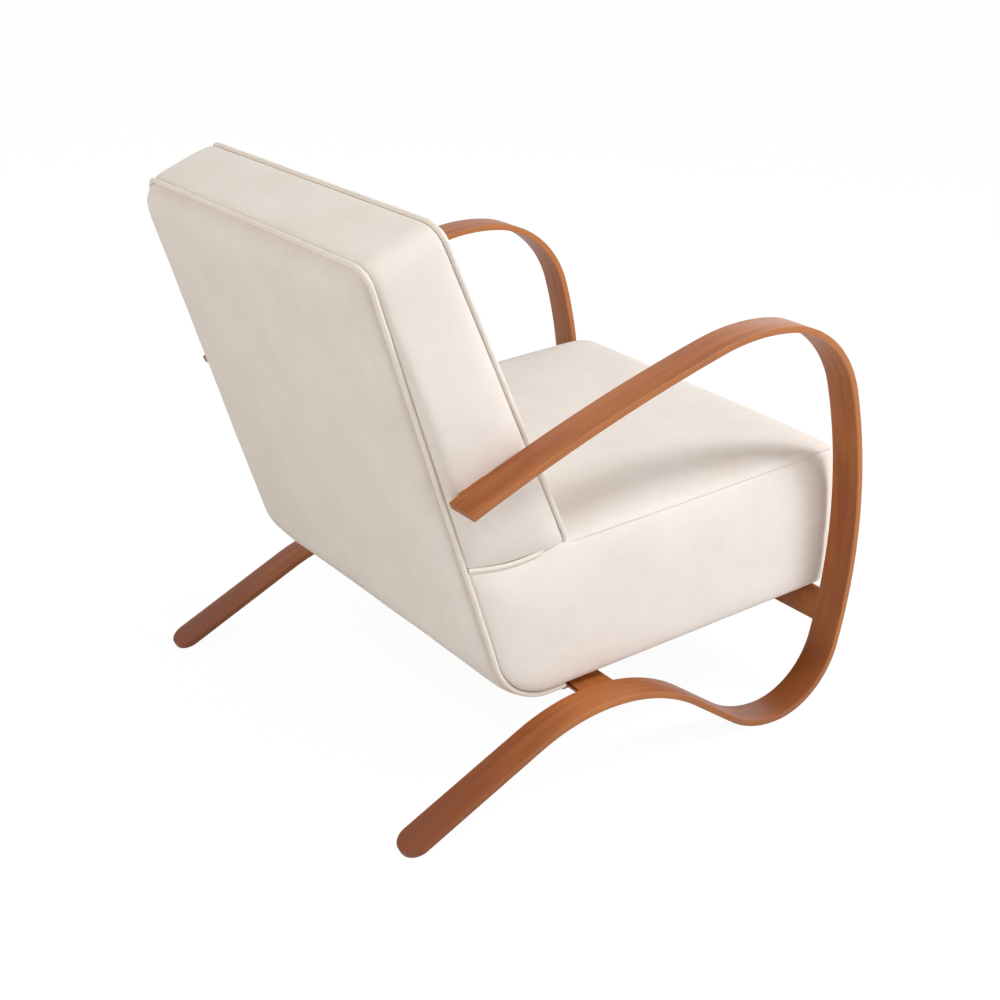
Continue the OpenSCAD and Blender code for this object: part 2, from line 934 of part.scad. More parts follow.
core_low = seat_rail_top + 2 * web_t + soft_gap;
pad_low = core_low + core_t;
seat_top_y = seat_h - edge_in + soft_gap;
core_rear_x = rear_board_x;
pad_rear_x = -seat_depth + back_foot_x - 4 * cover_t;

module seat_core() {
    color(foam)
        in_seat()
            slab(-frame_half, frame_half)
                translate([core_rear_x, core_low])
                    square([frame_front_x - core_rear_x, core_t]);
}

module seat_pad() {
    color(foam)
        in_seat()
            slab(-frame_half, frame_half)
                translate([pad_rear_x, pad_low])
                    square([frame_front_x - pad_rear_x, seat_top_y - soft_gap - pad_low]);
}

// Padding round the front and sides of the seat frame.
module seat_edge_pad() {
    color(foam)
        difference() {
            in_seat()
                translate([rear_board_x, frame_low, -pad_out])
                    cube([front_pad_x - rear_board_x, seat_top_y - soft_gap - frame_low, 2 * pad_out]);
            in_seat()
                translate([rear_board_x - tiny, frame_low - tiny, -frame_half])
                    cube([frame_front_x - rear_board_x + tiny, seat_h, 2 * frame_half]);
        }
}

back_pad_rise = 14;
back_pad_low = seam_y(upright_in) + back_pad_rise;
back_pad_top = upright_top;

module back_pad() {
    color(foam)
        in_back()
            slab(-upright_out, upright_out)
                polygon([
                    [back_web_x + 2 * web_t + soft_gap, back_pad_low],
                    [back_front_x(back_pad_low) - cover_t - 2 * soft_gap, back_pad_low],
                    [back_front_x(back_pad_top) - cover_t - 2 * soft_gap, back_pad_top],
                    [back_web_x + 2 * web_t + soft_gap, back_pad_top]
                ]);
}

// Padding round the sides and top of the back frame.
module back_edge_pad() {
    color(foam)
        difference() {
            in_back()
                slab(-pad_out, pad_out)
                    polygon([
                        [upright_in, back_pad_low],
                        [back_front_x(back_pad_low) - edge_in - cover_t, back_pad_low],
                        [back_front_x(upright_top) - edge_in - cover_t, upright_top + top_pad_t],
                        [upright_in, upright_top + top_pad_t]
                    ]);
            in_back()
                translate([-tiny, 0, -upright_out])
                    cube([2 * back_top_d, upright_top, 2 * upright_out]);
            in_back()
                both_sides()
                    translate([-tiny, back_h - back_corner_r - cover_t, pad_out - back_corner_r + 2])
                        cube([2 * back_top_d, back_corner_r + 2 * cover_t, back_corner_r]);
            arm_slots();
        }
}

// Padding behind the back frame and round the bend below it.
module rear_pad() {
    color(foam)
        in_back()
            slab(-frame_half, frame_half) {
                translate([cover_t + soft_gap, tail_tangent])
                    square([upright_in - cover_t - soft_gap, upright_top - tail_tangent]);
                intersection() {
                    translate([tail_r, tail_tangent])
                        difference() {
                            circle(r = tail_pad_r);
                            circle(r = tail_pad_r - tail_pad_t);
                        }
                    polygon([
                        [tail_r, tail_tangent], [-tail_r, tail_tangent],
                        [-tail_r, -tail_r],
                        [tail_r + 2 * tail_r * cos(180 + tail_turn),
                            tail_tangent + 2 * tail_r * sin(180 + tail_turn)]
                    ]);
                }
            }
}

dust_edge = 2;
dust_rear_x = rear_rail_x + rear_rail_w / 2 + dust_edge;

module dust_cover() {
    color(dark_cloth)
        in_seat()
            slab(-frame_half, frame_half)
                translate([dust_rear_x, frame_low - dust_t])
                    square([block_screw_x - block_d - 2 * dust_edge - dust_rear_x, dust_t]);
}

// Covers

panel_cols = 14;
panel_half = body_half - edge_in;
corner_in_r = back_corner_r - edge_in;
panel_power = 8;
band_power = 4;

// Seat top cover, rows from the front edge to the back.
top_rows = 16;
top_cover_end = 3;
top_cover_len = seat_depth - back_foot_x - top_cover_end;

function top_row(i) = row_at(i, top_rows, seat_corner_r, top_cover_len);
function top_point(i, j, low) =
    let (d = top_row(i), across = 2 * j / panel_cols - 1,
        rise = seat_crown * puff(d / top_cover_len, panel_power)
            * puff(j / panel_cols, panel_power))
    [-d, low ? seat_top_y : seat_h + rise, across * row_half(d, body_half, seat_corner_r)];

module seat_top_cover() {
    color(fabric)
        in_seat()
            quilt(top_rows, panel_cols,
                function (i, j) top_point(i, j, false),
                function (i, j) top_point(i, j, true));
}

// Front cover of the back, rows from its top edge down to the seat.
front_rows = 18;
front_cover_end = 2.5;
front_cover_len = front_len - edge_in - front_cover_end;

function front_point(i, j, depth, rise) =
    let (d = row_at(i, front_rows, corner_in_r, front_cover_len),
        across = 2 * j / panel_cols - 1,
        out = rise * puff(d / front_cover_len, panel_power)
            * puff(j / panel_cols, panel_power))
    [out - depth, -edge_in - d, across * row_half(d, panel_half, corner_in_r)];

module back_front_cover() {
    color(fabric)
        in_front_face()
            quilt(front_rows, panel_cols,
                function (i, j) front_point(i, j, cover_t, 0),
                function (i, j) front_point(i, j, 0, back_crown));
}

// Rear cover, rows from its top edge down, round the bend and under the seat.
rear_rows = 24;
rear_straight = back_h - edge_in - tail_tangent;
rear_cover_len = rear_straight + tail_arc + tail_len;

function rear_path(d) =
    d <= rear_straight ? [0, back_h - edge_in - d, 180]
    : d <= rear_straight + tail_arc
        ? let (a = 180 + (d - rear_straight) / tail_r * 180 / PI)
            [tail_r + tail_r * cos(a), tail_tangent + tail_r * sin(a), a]
        : let (a = 180 + tail_turn, k = d - rear_straight - tail_arc)
            [tail_r + tail_r * cos(a) - k * sin(a),
                tail_tangent + tail_r * sin(a) + k * cos(a), a];
function rear_point(i, j, depth, rise) =
    let (d = row_at(i, rear_rows, corner_in_r, rear_cover_len),
        p = rear_path(d), across = 2 * j / panel_cols - 1,
        out = rise * puff(d / rear_cover_len, panel_power)
            * puff(j / panel_cols, panel_power) - depth)
    [p[0] + out * cos(p[2]), p[1] + out * sin(p[2]),
        across * row_half(d, panel_half, corner_in_r)];

module rear_cover() {
    color(fabric)
        in_back()
            quilt(rear_rows, panel_cols,
                function (i, j) rear_point(i, j, 0, rear_crown),
                function (i, j) rear_point(i, j, cover_t, 0));
}

// Band over the sides and the top of the back.
band_cols = 5;
seam_lift = edge_in / cos(back_lean);

function back_band_point(i, j, out) =
    let (rear = band_at(i, body_half, seam_y(edge_in) + seam_lift, back_h, back_corner_r),
        front = band_at(i, body_half, back_foot_y + seam_lift, back_front_top[1], back_corner_r),
        t = j / band_cols,
        lift = out < 0 ? out : out * puff(t, band_power) * band_end_puff(i),
        y = mix(rear[1], front[1], t))
    [mix(edge_in, back_front_x(front[1]) - edge_in, t),
        y + lift * rear[3], mix(rear[0], front[0], t) + lift * rear[2]];

module back_boxing() {
    color(fabric)
        difference() {
            in_back()
                quilt(band_steps, band_cols,
                    function (i, j) back_band_point(i, j, -cover_t),
                    function (i, j) back_band_point(i, j, band_crown));
            arm_slots();
        }
}

// Band over the front and both sides of the seat, its rear ends inside the bend.
tail_steps = 3;
box_cols = 6;
box_top = seat_top_y - soft_gap;
box_rear_x = -seat_depth - box_top * tan(back_lean) + edge_in / cos(back_lean);

function side_bottom(i) = i <= tail_steps
    ? let (a = tail_turn * (1 - i / tail_steps))
        [tail_x - (tail_r - edge_in) * sin(a), tail_r - (tail_r - edge_in) * cos(a)]
    : let (t = (i - tail_steps) / (side_steps - tail_steps))
        [mix(tail_x, -seat_corner_r, t), edge_in * (1 - t)];
function side_top(i) = i <= tail_steps
    ? [mix(box_rear_x, tail_x, i / tail_steps), box_top]
    : [side_bottom(i)[0], box_top];
function seat_band_point(i, j, out) =
    let (k = min(i, band_steps - i), t = j / box_cols,
        b = band_at(i, body_half, -seat_depth, 0, seat_corner_r),
        lift = out < 0 ? out : out * puff(t, band_power) * band_end_puff(i),
        low = k <= side_steps ? side_bottom(k) : [b[1], 0],
        high = k <= side_steps ? side_top(k) : [b[1], box_top])
    [mix(low[0], high[0], t) + lift * b[3], mix(low[1], high[1], t), b[0] + lift * b[2]];

module seat_boxing() {
    color(fabric)
        in_seat()
            quilt(band_steps, box_cols,
                function (i, j) seat_band_point(i, j, band_crown),
                function (i, j) seat_band_point(i, j, -cover_t));
}

// Piping

piping_z = body_half - piping_in;
piping_corner = back_corner_r - piping_in;

// Arch of piping in a face of the back: up both sides, round the corners, across.
module piping_arch(x, low, top) {
    both_sides() {
        translate([x, top - back_corner_r, piping_z])
            rotate([90, 0, 0])
                cylinder(h = top - back_corner_r - low, r = piping_r);
        translate([x, top - back_corner_r, -body_half + back_corner_r])
            rotate([0, 90, 0])
                rotate_extrude(angle = 90)
                    translate([piping_corner, 0])
                        circle(r = piping_r);
    }
    translate([x, top - piping_in, back_corner_r - body_half])
        cylinder(h = body_w - 2 * back_corner_r, r = piping_r);
}

// Half of the rear piping, from its end under the seat round the bend and up to the
// middle of the top, as [point, outward direction].
tube_sides = 8;
bend_stations = 9;
corner_stations = 6;
function rear_piping_half() = concat(
    let (a = 180 + tail_turn)
        [[[tail_r + (tail_r - piping_in) * cos(a) - tail_len * sin(a),
            tail_tangent + (tail_r - piping_in) * sin(a) + tail_len * cos(a), piping_z],
            [cos(a), sin(a), 0]]],
    [for (k = [0:bend_stations]) let (a = 180 + tail_turn * (1 - k / bend_stations))
        [[tail_r + (tail_r - piping_in) * cos(a),
            tail_tangent + (tail_r - piping_in) * sin(a), piping_z],
            [cos(a), sin(a), 0]]],
    [for (k = [0:corner_stations]) let (a = 90 * k / corner_stations)
        [[piping_in, back_h - back_corner_r + piping_corner * sin(a),
            body_half - back_corner_r + piping_corner * cos(a)],
            [-1, 0, 0]]]);
function flipped(list) = [for (k = [len(list) - 1:-1:0])
    [[list[k][0][0], list[k][0][1], -list[k][0][2]], list[k][1]]];

// Tube through stations [point, direction across the path].
module tube(path, r) {
    n = len(path);
    rings = [for (k = [0:n - 1]) let (
        t = path[min(k + 1, n - 1)][0] - path[max(k - 1, 0)][0],
        u = path[k][1], v = cross(t / norm(t), u))
        for (i = [0:tube_sides - 1]) let (a = 360 * i / tube_sides)
            path[k][0] + r * (cos(a) * u + sin(a) * v)];
    walls = [for (k = [0:n - 2]) for (i = [0:tube_sides - 1])
        let (j = (i + 1) % tube_sides, p = k * tube_sides, q = p + tube_sides)
            each [[p + i, q + i, q + j], [p + i, q + j, p + j]]];
    last = (n - 1) * tube_sides;
    ends = [for (i = [1:tube_sides - 2])
        each [[0, i, i + 1], [last, last + i + 1, last + i]]];
    polyhedron(rings, concat(walls, ends));
}

module rear_piping() {
    color(fabric)
        in_back()
            tube(concat(rear_piping_half(), flipped(rear_piping_half())), piping_r);
}

module back_front_piping() {
    color(fabric)
        in_front_face()
            piping_arch(-piping_in, -front_len + 2 * edge_in, 0);
}

// Short piping on each side between the seat's band and the back's band.
seam_rear_x = -seat_depth - seat_h * tan(back_lean) + 2 * edge_in;
seam_front_x = -seat_depth + back_foot_x - edge_in;

module side_seam_piping() {
    color(fabric)
        in_seat()
            both_sides()
                translate([seam_rear_x, seat_h, piping_z])
                    rotate([0, 90, 0])
                        cylinder(h = seam_front_x - seam_rear_x, r = piping_r);
}

right_arm_leg();
left_arm_leg();
front_rail();
front_rail_blocks();
rear_rail();
right_arm_block();
left_arm_block();
right_arm_plate();
left_arm_plate();
arm_plate_screws();
arm_block_bolts();
seat_top_cover();
seat_boxing();
back_front_cover();
back_boxing();
rear_cover();
rear_piping();
back_front_piping();
side_seam_piping();
right_seat_rail();
left_seat_rail();
seat_front_rail();
seat_rear_rail();
seat_corner_blocks();
right_back_upright();
left_back_upright();
back_top_rail();
back_lower_rail();
upright_bolts();
upright_nuts();
rear_rail_bolts();
rear_rail_nuts();
front_rail_screws();
seat_webbing_long();
seat_webbing_cross();
seat_core();
seat_pad();
seat_edge_pad();
back_webbing_long();
back_webbing_cross();
back_pad();
back_edge_pad();
rear_pad();
dust_cover();
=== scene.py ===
# %% [markdown]
# # An upholstered lounge chair between two bent ribbons
# The CAD frame holds every board, bolt and pad of the chair in its true place. This
# lesson dresses what shows: two ribbons of bent beech, the cross rails, and the
# fabric body with its piping. Every piece is built in the frame's own metres, so it
# fits without any later move.

# %% Load the frame
import json
import math

import bmesh
import bpy
from mathutils import Matrix, Vector, noise

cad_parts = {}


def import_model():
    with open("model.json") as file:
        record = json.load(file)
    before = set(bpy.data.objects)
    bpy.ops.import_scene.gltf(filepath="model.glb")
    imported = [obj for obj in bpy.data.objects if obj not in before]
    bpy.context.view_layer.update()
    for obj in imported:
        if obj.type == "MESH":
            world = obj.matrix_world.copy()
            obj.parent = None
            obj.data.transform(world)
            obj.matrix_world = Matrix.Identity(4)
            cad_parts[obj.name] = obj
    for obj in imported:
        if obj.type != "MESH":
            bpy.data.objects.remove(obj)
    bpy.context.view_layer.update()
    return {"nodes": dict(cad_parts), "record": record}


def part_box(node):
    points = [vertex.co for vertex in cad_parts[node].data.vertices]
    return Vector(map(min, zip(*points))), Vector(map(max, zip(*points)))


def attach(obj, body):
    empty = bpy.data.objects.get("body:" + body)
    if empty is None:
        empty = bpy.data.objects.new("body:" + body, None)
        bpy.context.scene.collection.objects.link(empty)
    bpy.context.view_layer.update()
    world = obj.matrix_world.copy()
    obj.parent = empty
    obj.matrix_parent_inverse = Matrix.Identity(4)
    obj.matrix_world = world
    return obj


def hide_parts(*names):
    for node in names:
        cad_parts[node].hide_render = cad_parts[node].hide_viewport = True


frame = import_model()
nodes = frame["nodes"]
MM = 0.001

# %% [markdown]
# ## The side view
# Almost everything about this chair is decided in one drawing: its side view. It could
# be traced point by point, but radii and turns say how the real chair was drawn. So the
# sizes are kept as they are on such a drawing, in millimetres, forward and up from the
# spot where the front loop touches the floor. A bend is its radius and its turn in
# degrees, and a turn to the left is positive.

# %% Driving sizes of the side view
RIBBON_W, RIBBON_T = 48.0, 9.0
RIBBON_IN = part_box("left_arm_leg")[0].x / MM
FLOOR_FLAT = 0.5
TOE, RISER, KNEE, CROWN = (111.0, 78.6), (746.0, 30.8), (164.5, 64.7), (311.5, 22.3)
ARM = (2710.0, math.degrees(402.0 / 2710.0))
HEEL, SLOPE_LEN, HUMP_R, LEG_SLOPE = (159.0, 34.0), 90.0, 270.0, 26.25
SEAT_TILT, RECLINE = 3.7, 20.0
SEAT_FRONT, TAIL_CORNER = Vector((134.87, 163.0)), Vector((-436.91, 126.03))
SEAT_DEPTH, SEAT_H, BACK_H = (SEAT_FRONT - TAIL_CORNER).length, 219.0, 645.0
BACK_TOP_D, TOP_RISE, BACK_WEDGE = 103.0, 3.0, 5.9
BODY_HALF, TAIL_R, TAIL_LEN = 276.5, 93.0, 22.0
BACK_CORNER_R, SEAT_CORNER_R = 25.0, 5.0
PIPING_R, PIPING_IN, SOFT_GAP = 2.75, 1.0, 0.3
EDGE_IN = PIPING_R + PIPING_IN + SOFT_GAP
print("seat is", round(SEAT_DEPTH), "mm deep below, the back is", round(BACK_H), "mm high")


def heading(a):
    """Unit step in the direction of angle a, in degrees."""
    return Vector((math.cos(math.radians(a)), math.sin(math.radians(a))))


def left_of(a):
    """Unit step to the left of angle a."""
    return Vector((-math.sin(math.radians(a)), math.cos(math.radians(a))))


def arc_end(p, a, r, turn):
    """Where an arc ends that starts at p with heading a."""
    return p + math.copysign(r, turn) * (left_of(a) - left_of(a + turn))


# %% [markdown]
# ## The ribbon's line
# The ribbon is a strip of thin wooden layers, bent and glued, and such a strip can only
# run in smooth curves. A Bezier curve could be pulled along it by eye, but its bends
# wouldn't be round. So the line is a chain of arcs in which each one starts with the
# heading that the last one ended with. Walking the chain gives a list of stations, each
# with its point and heading, and how far along the ribbon it lies.

# %% Walk the ribbon's line
CONTACT = Vector((0.0, RIBBON_T / 2 - FLOOR_FLAT))
STEP_TURN, STEP_LEN = 2.0, 25.0


def arc_steps(r, turn):
    """Number of straight steps that stand for an arc."""
    return max(2, math.ceil(abs(turn) / STEP_TURN), math.ceil(r * math.radians(abs(turn)) / STEP_LEN))


def arc_stations(p, a, r, turn):
    """Points and headings along an arc, without its first point."""
    n = arc_steps(r, turn)
    return [(arc_end(p, a, r, turn * k / n), a + turn * k / n) for k in range(1, n + 1)]


heel_end = arc_end(CONTACT, 180, HEEL[0], -HEEL[1])
slope_a = 180 - HEEL[1]
slope_end = heel_end + SLOPE_LEN * heading(slope_a)
hump_turn = HEEL[1] + LEG_SLOPE
hump_end = arc_end(slope_end, slope_a, HUMP_R, hump_turn)
leg_a = slope_a + hump_turn
tip_up = RIBBON_T / 2 * math.cos(math.radians(LEG_SLOPE)) - FLOOR_FLAT
leg_len = (hump_end.y - tip_up) / math.sin(math.radians(LEG_SLOPE))
round_mid = hump_end + (leg_len - RIBBON_W / 2) * heading(leg_a)
back_chain = (arc_stations(CONTACT, 180, HEEL[0], -HEEL[1])
              + [(slope_end, slope_a)] + arc_stations(slope_end, slope_a, HUMP_R, hump_turn))
chain = [(p, a - 180) for p, a in reversed(back_chain)] + [(CONTACT, 0.0)]
chain.insert(0, (round_mid, leg_a - 180))
p, a = CONTACT, 0.0
for radius, turn in (TOE, RISER, KNEE, CROWN, ARM):
    chain += arc_stations(p, a, radius, turn)
    p, a = arc_end(p, a, radius, turn), a + turn
along = [0.0]
for here, there in zip(chain, chain[1:]):
    along.append(along[-1] + (there[0] - here[0]).length)
front_reach = max((p - RIBBON_T / 2 * left_of(a)).x for p, a in chain)
FORWARD_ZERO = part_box("left_arm_leg")[0].y / MM + front_reach
print("ribbon line", len(chain), "stations,", round(along[-1] + RIBBON_W / 2), "mm long")


def world(forward, up, x):
    """Place of a side view point in the frame, in metres."""
    return Vector((x, FORWARD_ZERO - forward, up)) * MM


# %% [markdown]
# ## Writing shader maths as plain sums
# A finish is a small program whose steps are nodes. Each node could be made and linked
# in lines of its own, but then a sum of three terms takes a dozen lines, and nobody sees
# the sum any more. So a class wraps a node's output and gives it Python's operators: an
# expression adds its Math nodes and still reads as the sum that it is, also with a number
# on the left, as in 1 - mask. Colours go through Mix and places through Vector Math,
# because a Math node would turn them grey. Every other node comes from the one method
# add, which takes its type, its settings and the values or links of its sockets.

# %% A socket to reckon with
class Socket:
    """An output of a shader node."""
    def __init__(self, nodes, out):
        self.nodes, self.out = nodes, out

    def _math(self, kind, *terms):
        return self.nodes.add("ShaderNodeMath", {"operation": kind}, dict(enumerate(terms)))

    def __add__(self, other):
        return self._math("ADD", self, other)

    def __sub__(self, other):
        return self._math("SUBTRACT", self, other)

    def __rsub__(self, other):
        return self._math("SUBTRACT", other, self)

    def __mul__(self, other):
        return self._math("MULTIPLY", self, other)

    __radd__, __rmul__ = __add__, __mul__

    def sin(self):
        return self._math("SINE", self)

    def abs(self):
        return self._math("ABSOLUTE", self)

    def larger(self, other):
        return self._math("MAXIMUM", self, other)

    def clamp(self):
        return self.nodes.add("ShaderNodeClamp", {}, {"Value": self})

    def ramp(self, low, high):
        """0 below low, 1 above high and a smooth rise between them."""
        return self.nodes.add("ShaderNodeMapRange", {"interpolation_type": "SMOOTHSTEP"},
                              {"Value": self, "From Min": low, "From Max": high})


print("beside + - and *, a socket knows", ", ".join(name for name in vars(Socket) if name[0] != "_"))

# %% One way to add a node
class Nodes:
    """A tree of shader nodes and the one way in which nodes are added to it."""
    def __init__(self, tree):
        self.tree = tree

    def add(self, kind, settings, values, output=0):
        n = self.tree.nodes.new(kind)
        for key, value in settings.items():
            setattr(n, key, value)
        for key, value in values.items():
            self.feed(n.inputs[key], value)
        return Socket(self, n.outputs[output])

    def feed(self, socket, value):
        if isinstance(value, Socket):
            self.tree.links.new(value.out, socket)
        else:
            socket.default_value = value


print("a node comes from", Nodes.add.__qualname__, "and is filled by", Nodes.feed.__qualname__)

# %% One finish
class Paint(Nodes):
    """One material and its nodes."""
    def __init__(self, name):
        self.material = bpy.data.materials.new(name)
        self.material.use_nodes = True
        super().__init__(self.material.node_tree)
        self.shader = self.tree.nodes["Principled BSDF"]
        self.out = self.tree.nodes["Material Output"]

    def mix(self, factor, a, b):
        return self.add("ShaderNodeMix", {"data_type": "RGBA"}, {0: factor, 6: a, 7: b}, output=2)

    def place(self, attribute=None):
        """Where a point lies: as a stored attribute says, else in its object's space."""
        if attribute:
            return self.add("ShaderNodeAttribute", {"attribute_name": attribute}, {}, output=1)
        return self.add("ShaderNodeTexCoord", {}, {}, output=3)

    def parts(self, place):
        """The three parts of a place."""
        splitter = self.add("ShaderNodeSeparateXYZ", {}, {"Vector": place}).out.node
        return [Socket(self, part) for part in splitter.outputs]

    def noise(self, place, scale, detail=2.0, roughness=0.5, distortion=0.0):
        """Noise between 0 and 1. Three scales stretch it."""
        if isinstance(scale, tuple):
            place = self.add("ShaderNodeVectorMath", {"operation": "MULTIPLY"}, {0: place, 1: scale})
            scale = 1.0
        return self.add("ShaderNodeTexNoise", {"normalize": True},
                        {"Vector": place, "Scale": scale, "Detail": detail,
                         "Roughness": roughness, "Distortion": distortion})

    def bump(self, height, distance, strength):
        return self.add("ShaderNodeBump", {},
                        {"Height": height, "Distance": distance, "Strength": strength})

    def set(self, **values):
        """Feeds inputs of the shader, whose names have _ for a blank."""
        for key, value in values.items():
            self.feed(self.shader.inputs[key.replace("_", " ")], value)
        return self.material


print("a finish is put together from", ", ".join(name for name in vars(Paint) if name[0] != "_"))

# %% Colours as they are seen
def rgb(r, g, b):
    """Linear colour of a colour as it is written on screen, each part from 0 to 255."""
    def linear(c):
        c /= 255
        return c / 12.92 if c <= 0.04045 else ((c + 0.055) / 1.055) ** 2.4
    return (linear(r), linear(g), linear(b), 1.0)


print("a grey of 128 on screen is", round(rgb(128, 128, 128)[0], 3), "as light")

# %% [markdown]
# ## Stained bent beech
# The ribbons are thin beech layers glued over a form, stained red-brown and finished
# satin. A picture of wood could be wrapped round them, but it would repeat and show a
# seam, so noise that is stretched along the grain draws the figure, the pores and the
# broad tones. Grain runs along the bend, so the pattern reads an attribute that holds
# the distance along, across and through the ribbon. The edges show the glued layers,
# and hands have rubbed the arrises paler.

# %% Wood finish
LAYER_T, EDGE_BAND, RUBBED_BAND = 1.5, 1.5, 2.5
# Painted shade: the loops and the rear legs are painted darker towards the floor
LOOP_SHADE_TOP, LOOP_PAINTED_SHADE = 0.13, 0.5
LEG_SHADE_BACK, LEG_SHADE_UP, LEG_PAINTED_SHADE = (0.09, 0.18), (0.2, 0.3), 0.3
# The last colour here is the tone of the painted shade low on the ribbons
GOLDEN, RUBBED, PAINTED_SHADE_TONE = rgb(200, 126, 62), rgb(214, 140, 86), rgb(112, 52, 24)
# How much each of these shows in the mix
EDGE_SHARE, GLUE_SHARE, RUBBED_SHARE, BROAD_SHARE, PORE_SHARE = 0.45, 0.4, 0.6, 0.45, 0.3


def layered_edges(paint, place, across, through, base, pore):
    """Shows the glued layers on a ribbon's edges and rubs its arrises. Gives the new
    colour and the height of the glue lines."""
    half = RIBBON_W / 2 * MM
    edge = across.abs().ramp(half - EDGE_BAND * MM, half + 0.2 * MM)
    lines = edge * (through * (math.tau / (LAYER_T * MM))).sin().ramp(0.55, 0.95)
    rub = paint.noise(place, (30.0, 60.0, 60.0), 3.0).ramp(0.35, 0.65)
    worn = across.abs().ramp(half - RUBBED_BAND * MM, half - 0.4 * MM) * (1 - edge) * rub
    base = paint.mix(edge * EDGE_SHARE, base, GOLDEN)
    base = paint.mix(lines * GLUE_SHARE, base, pore)
    return paint.mix(worn * RUBBED_SHARE, base, RUBBED), lines * -0.2


def painted_shade_below(paint, base):
    """Paints shade on the loops, and most of all on the rear legs, so that they come out a little
    darker than the arms.
    """
    back, up = paint.parts(paint.place())[1:]
    shaded_loops = (1 - up.ramp(0.0, LOOP_SHADE_TOP)) * LOOP_PAINTED_SHADE
    shaded_legs = back.ramp(*LEG_SHADE_BACK) * (1 - up.ramp(*LEG_SHADE_UP)) * LEG_PAINTED_SHADE
    return paint.mix(shaded_loops + shaded_legs, base, PAINTED_SHADE_TONE)


def wood(name, tones, run="x", attribute=None, coat=0.08, rough=0.42):
    """Wood with its grain along one object axis, or along a stored attribute."""
    paint = Paint(name)
    mid, dark, light, pore = (rgb(*tone) for tone in tones)
    parts = paint.parts(paint.place(attribute))
    order = {"x": (0, 1, 2), "y": (1, 0, 2), "z": (2, 0, 1)}[run]
    length, across, through = (parts[k] for k in order)
    place = paint.add("ShaderNodeCombineXYZ", {}, {"X": length, "Y": across, "Z": through})
    figure = paint.noise(place, (3.0, 90.0, 60.0), 4.0, 0.55, 0.6)
    flecks = paint.noise(place, (60.0, 1400.0, 900.0), 2.0, 0.6).ramp(0.60, 0.74)
    broad = paint.noise(place, (5.0, 14.0, 10.0))
    base = paint.mix(figure.ramp(0.3, 0.72), mid, dark)
    base = paint.mix(broad.ramp(0.35, 0.7) * BROAD_SHARE, base, light)
    base = paint.mix(flecks * PORE_SHARE, base, pore)
    height = figure * 0.3 + flecks * -0.5
    if attribute:
        base, glue = layered_edges(paint, place, across, through, base, pore)
        # Painted shade low on the ribbons, darkest on the rear legs
        base, height = painted_shade_below(paint, base), height + glue
    return paint.set(Base_Color=base, Roughness=rough + figure * 0.08 + flecks * 0.12,
                     Coat_Weight=coat, Coat_Roughness=0.25, Specular_IOR_Level=0.35,
                     Normal=paint.bump(height, 0.00012, 0.5))


STAIN = ((168, 96, 43), (138, 73, 30), (189, 115, 57), (85, 41, 18))
PLAIN = ((205, 176, 134), (186, 152, 108), (217, 192, 154), (140, 104, 66))
RIBBON_WOOD = wood("stained_bent_beech", STAIN, attribute="grain")
BOARD_WOOD = wood("stained_beech_board", STAIN)
print("wood finishes", RIBBON_WOOD.name, BOARD_WOOD.name)

# %% [markdown]
# ## The ribbons
# Each side of the chair is one ribbon: arm, front riser, loop, hump and rear leg. A
# curve with a flat bevel could draw it, but its rounded foot would pinch. So one section
# is drawn at the foot's tip and extruded in steps that widen it along a quarter circle,
# which makes the tongue. Then it is pushed along the straights and spun round the centre
# of each arc in turn, as the real strip goes round its form.

# %% Small bmesh helpers
# In radians, as a bmesh measures angles
SHARP = 0.9


def fresh_ring(made):
    """New points of an extrusion, and the new edges that join them."""
    points = [g for g in made if isinstance(g, bmesh.types.BMVert)]
    return points, [g for g in made if isinstance(g, bmesh.types.BMEdge)
                    and g.verts[0] in points and g.verts[1] in points]


def new_object(name, bm, material, replaced=(), smooth=40):
    """Turns a bmesh into a piece of the chair that rides with the frame's root."""
    mesh = bpy.data.meshes.new(name)
    bm.to_mesh(mesh)
    bm.free()
    mesh.shade_smooth()
    if smooth:
        mesh.set_sharp_from_angle(angle=math.radians(smooth))
    mesh.materials.append(material)
    piece = bpy.data.objects.new(name, mesh)
    bpy.context.scene.collection.objects.link(piece)
    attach(piece, "root")
    if replaced:
        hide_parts(*replaced)
    return piece


def soften(bm, size):
    """Rounds every sharp edge."""
    sharp = [e for e in bm.edges if len(e.link_faces) == 2 and e.calc_face_angle() > SHARP]
    bmesh.ops.bevel(bm, geom=sharp, offset=size * MM, affect="EDGES", segments=3,
                    profile=0.5, material=-1, clamp_overlap=True)


print("an edge counts as sharp above", round(math.degrees(SHARP)), "degrees")

# %% Round the foot
TONGUE_STEPS, TIP_TURN = 12, 86.0


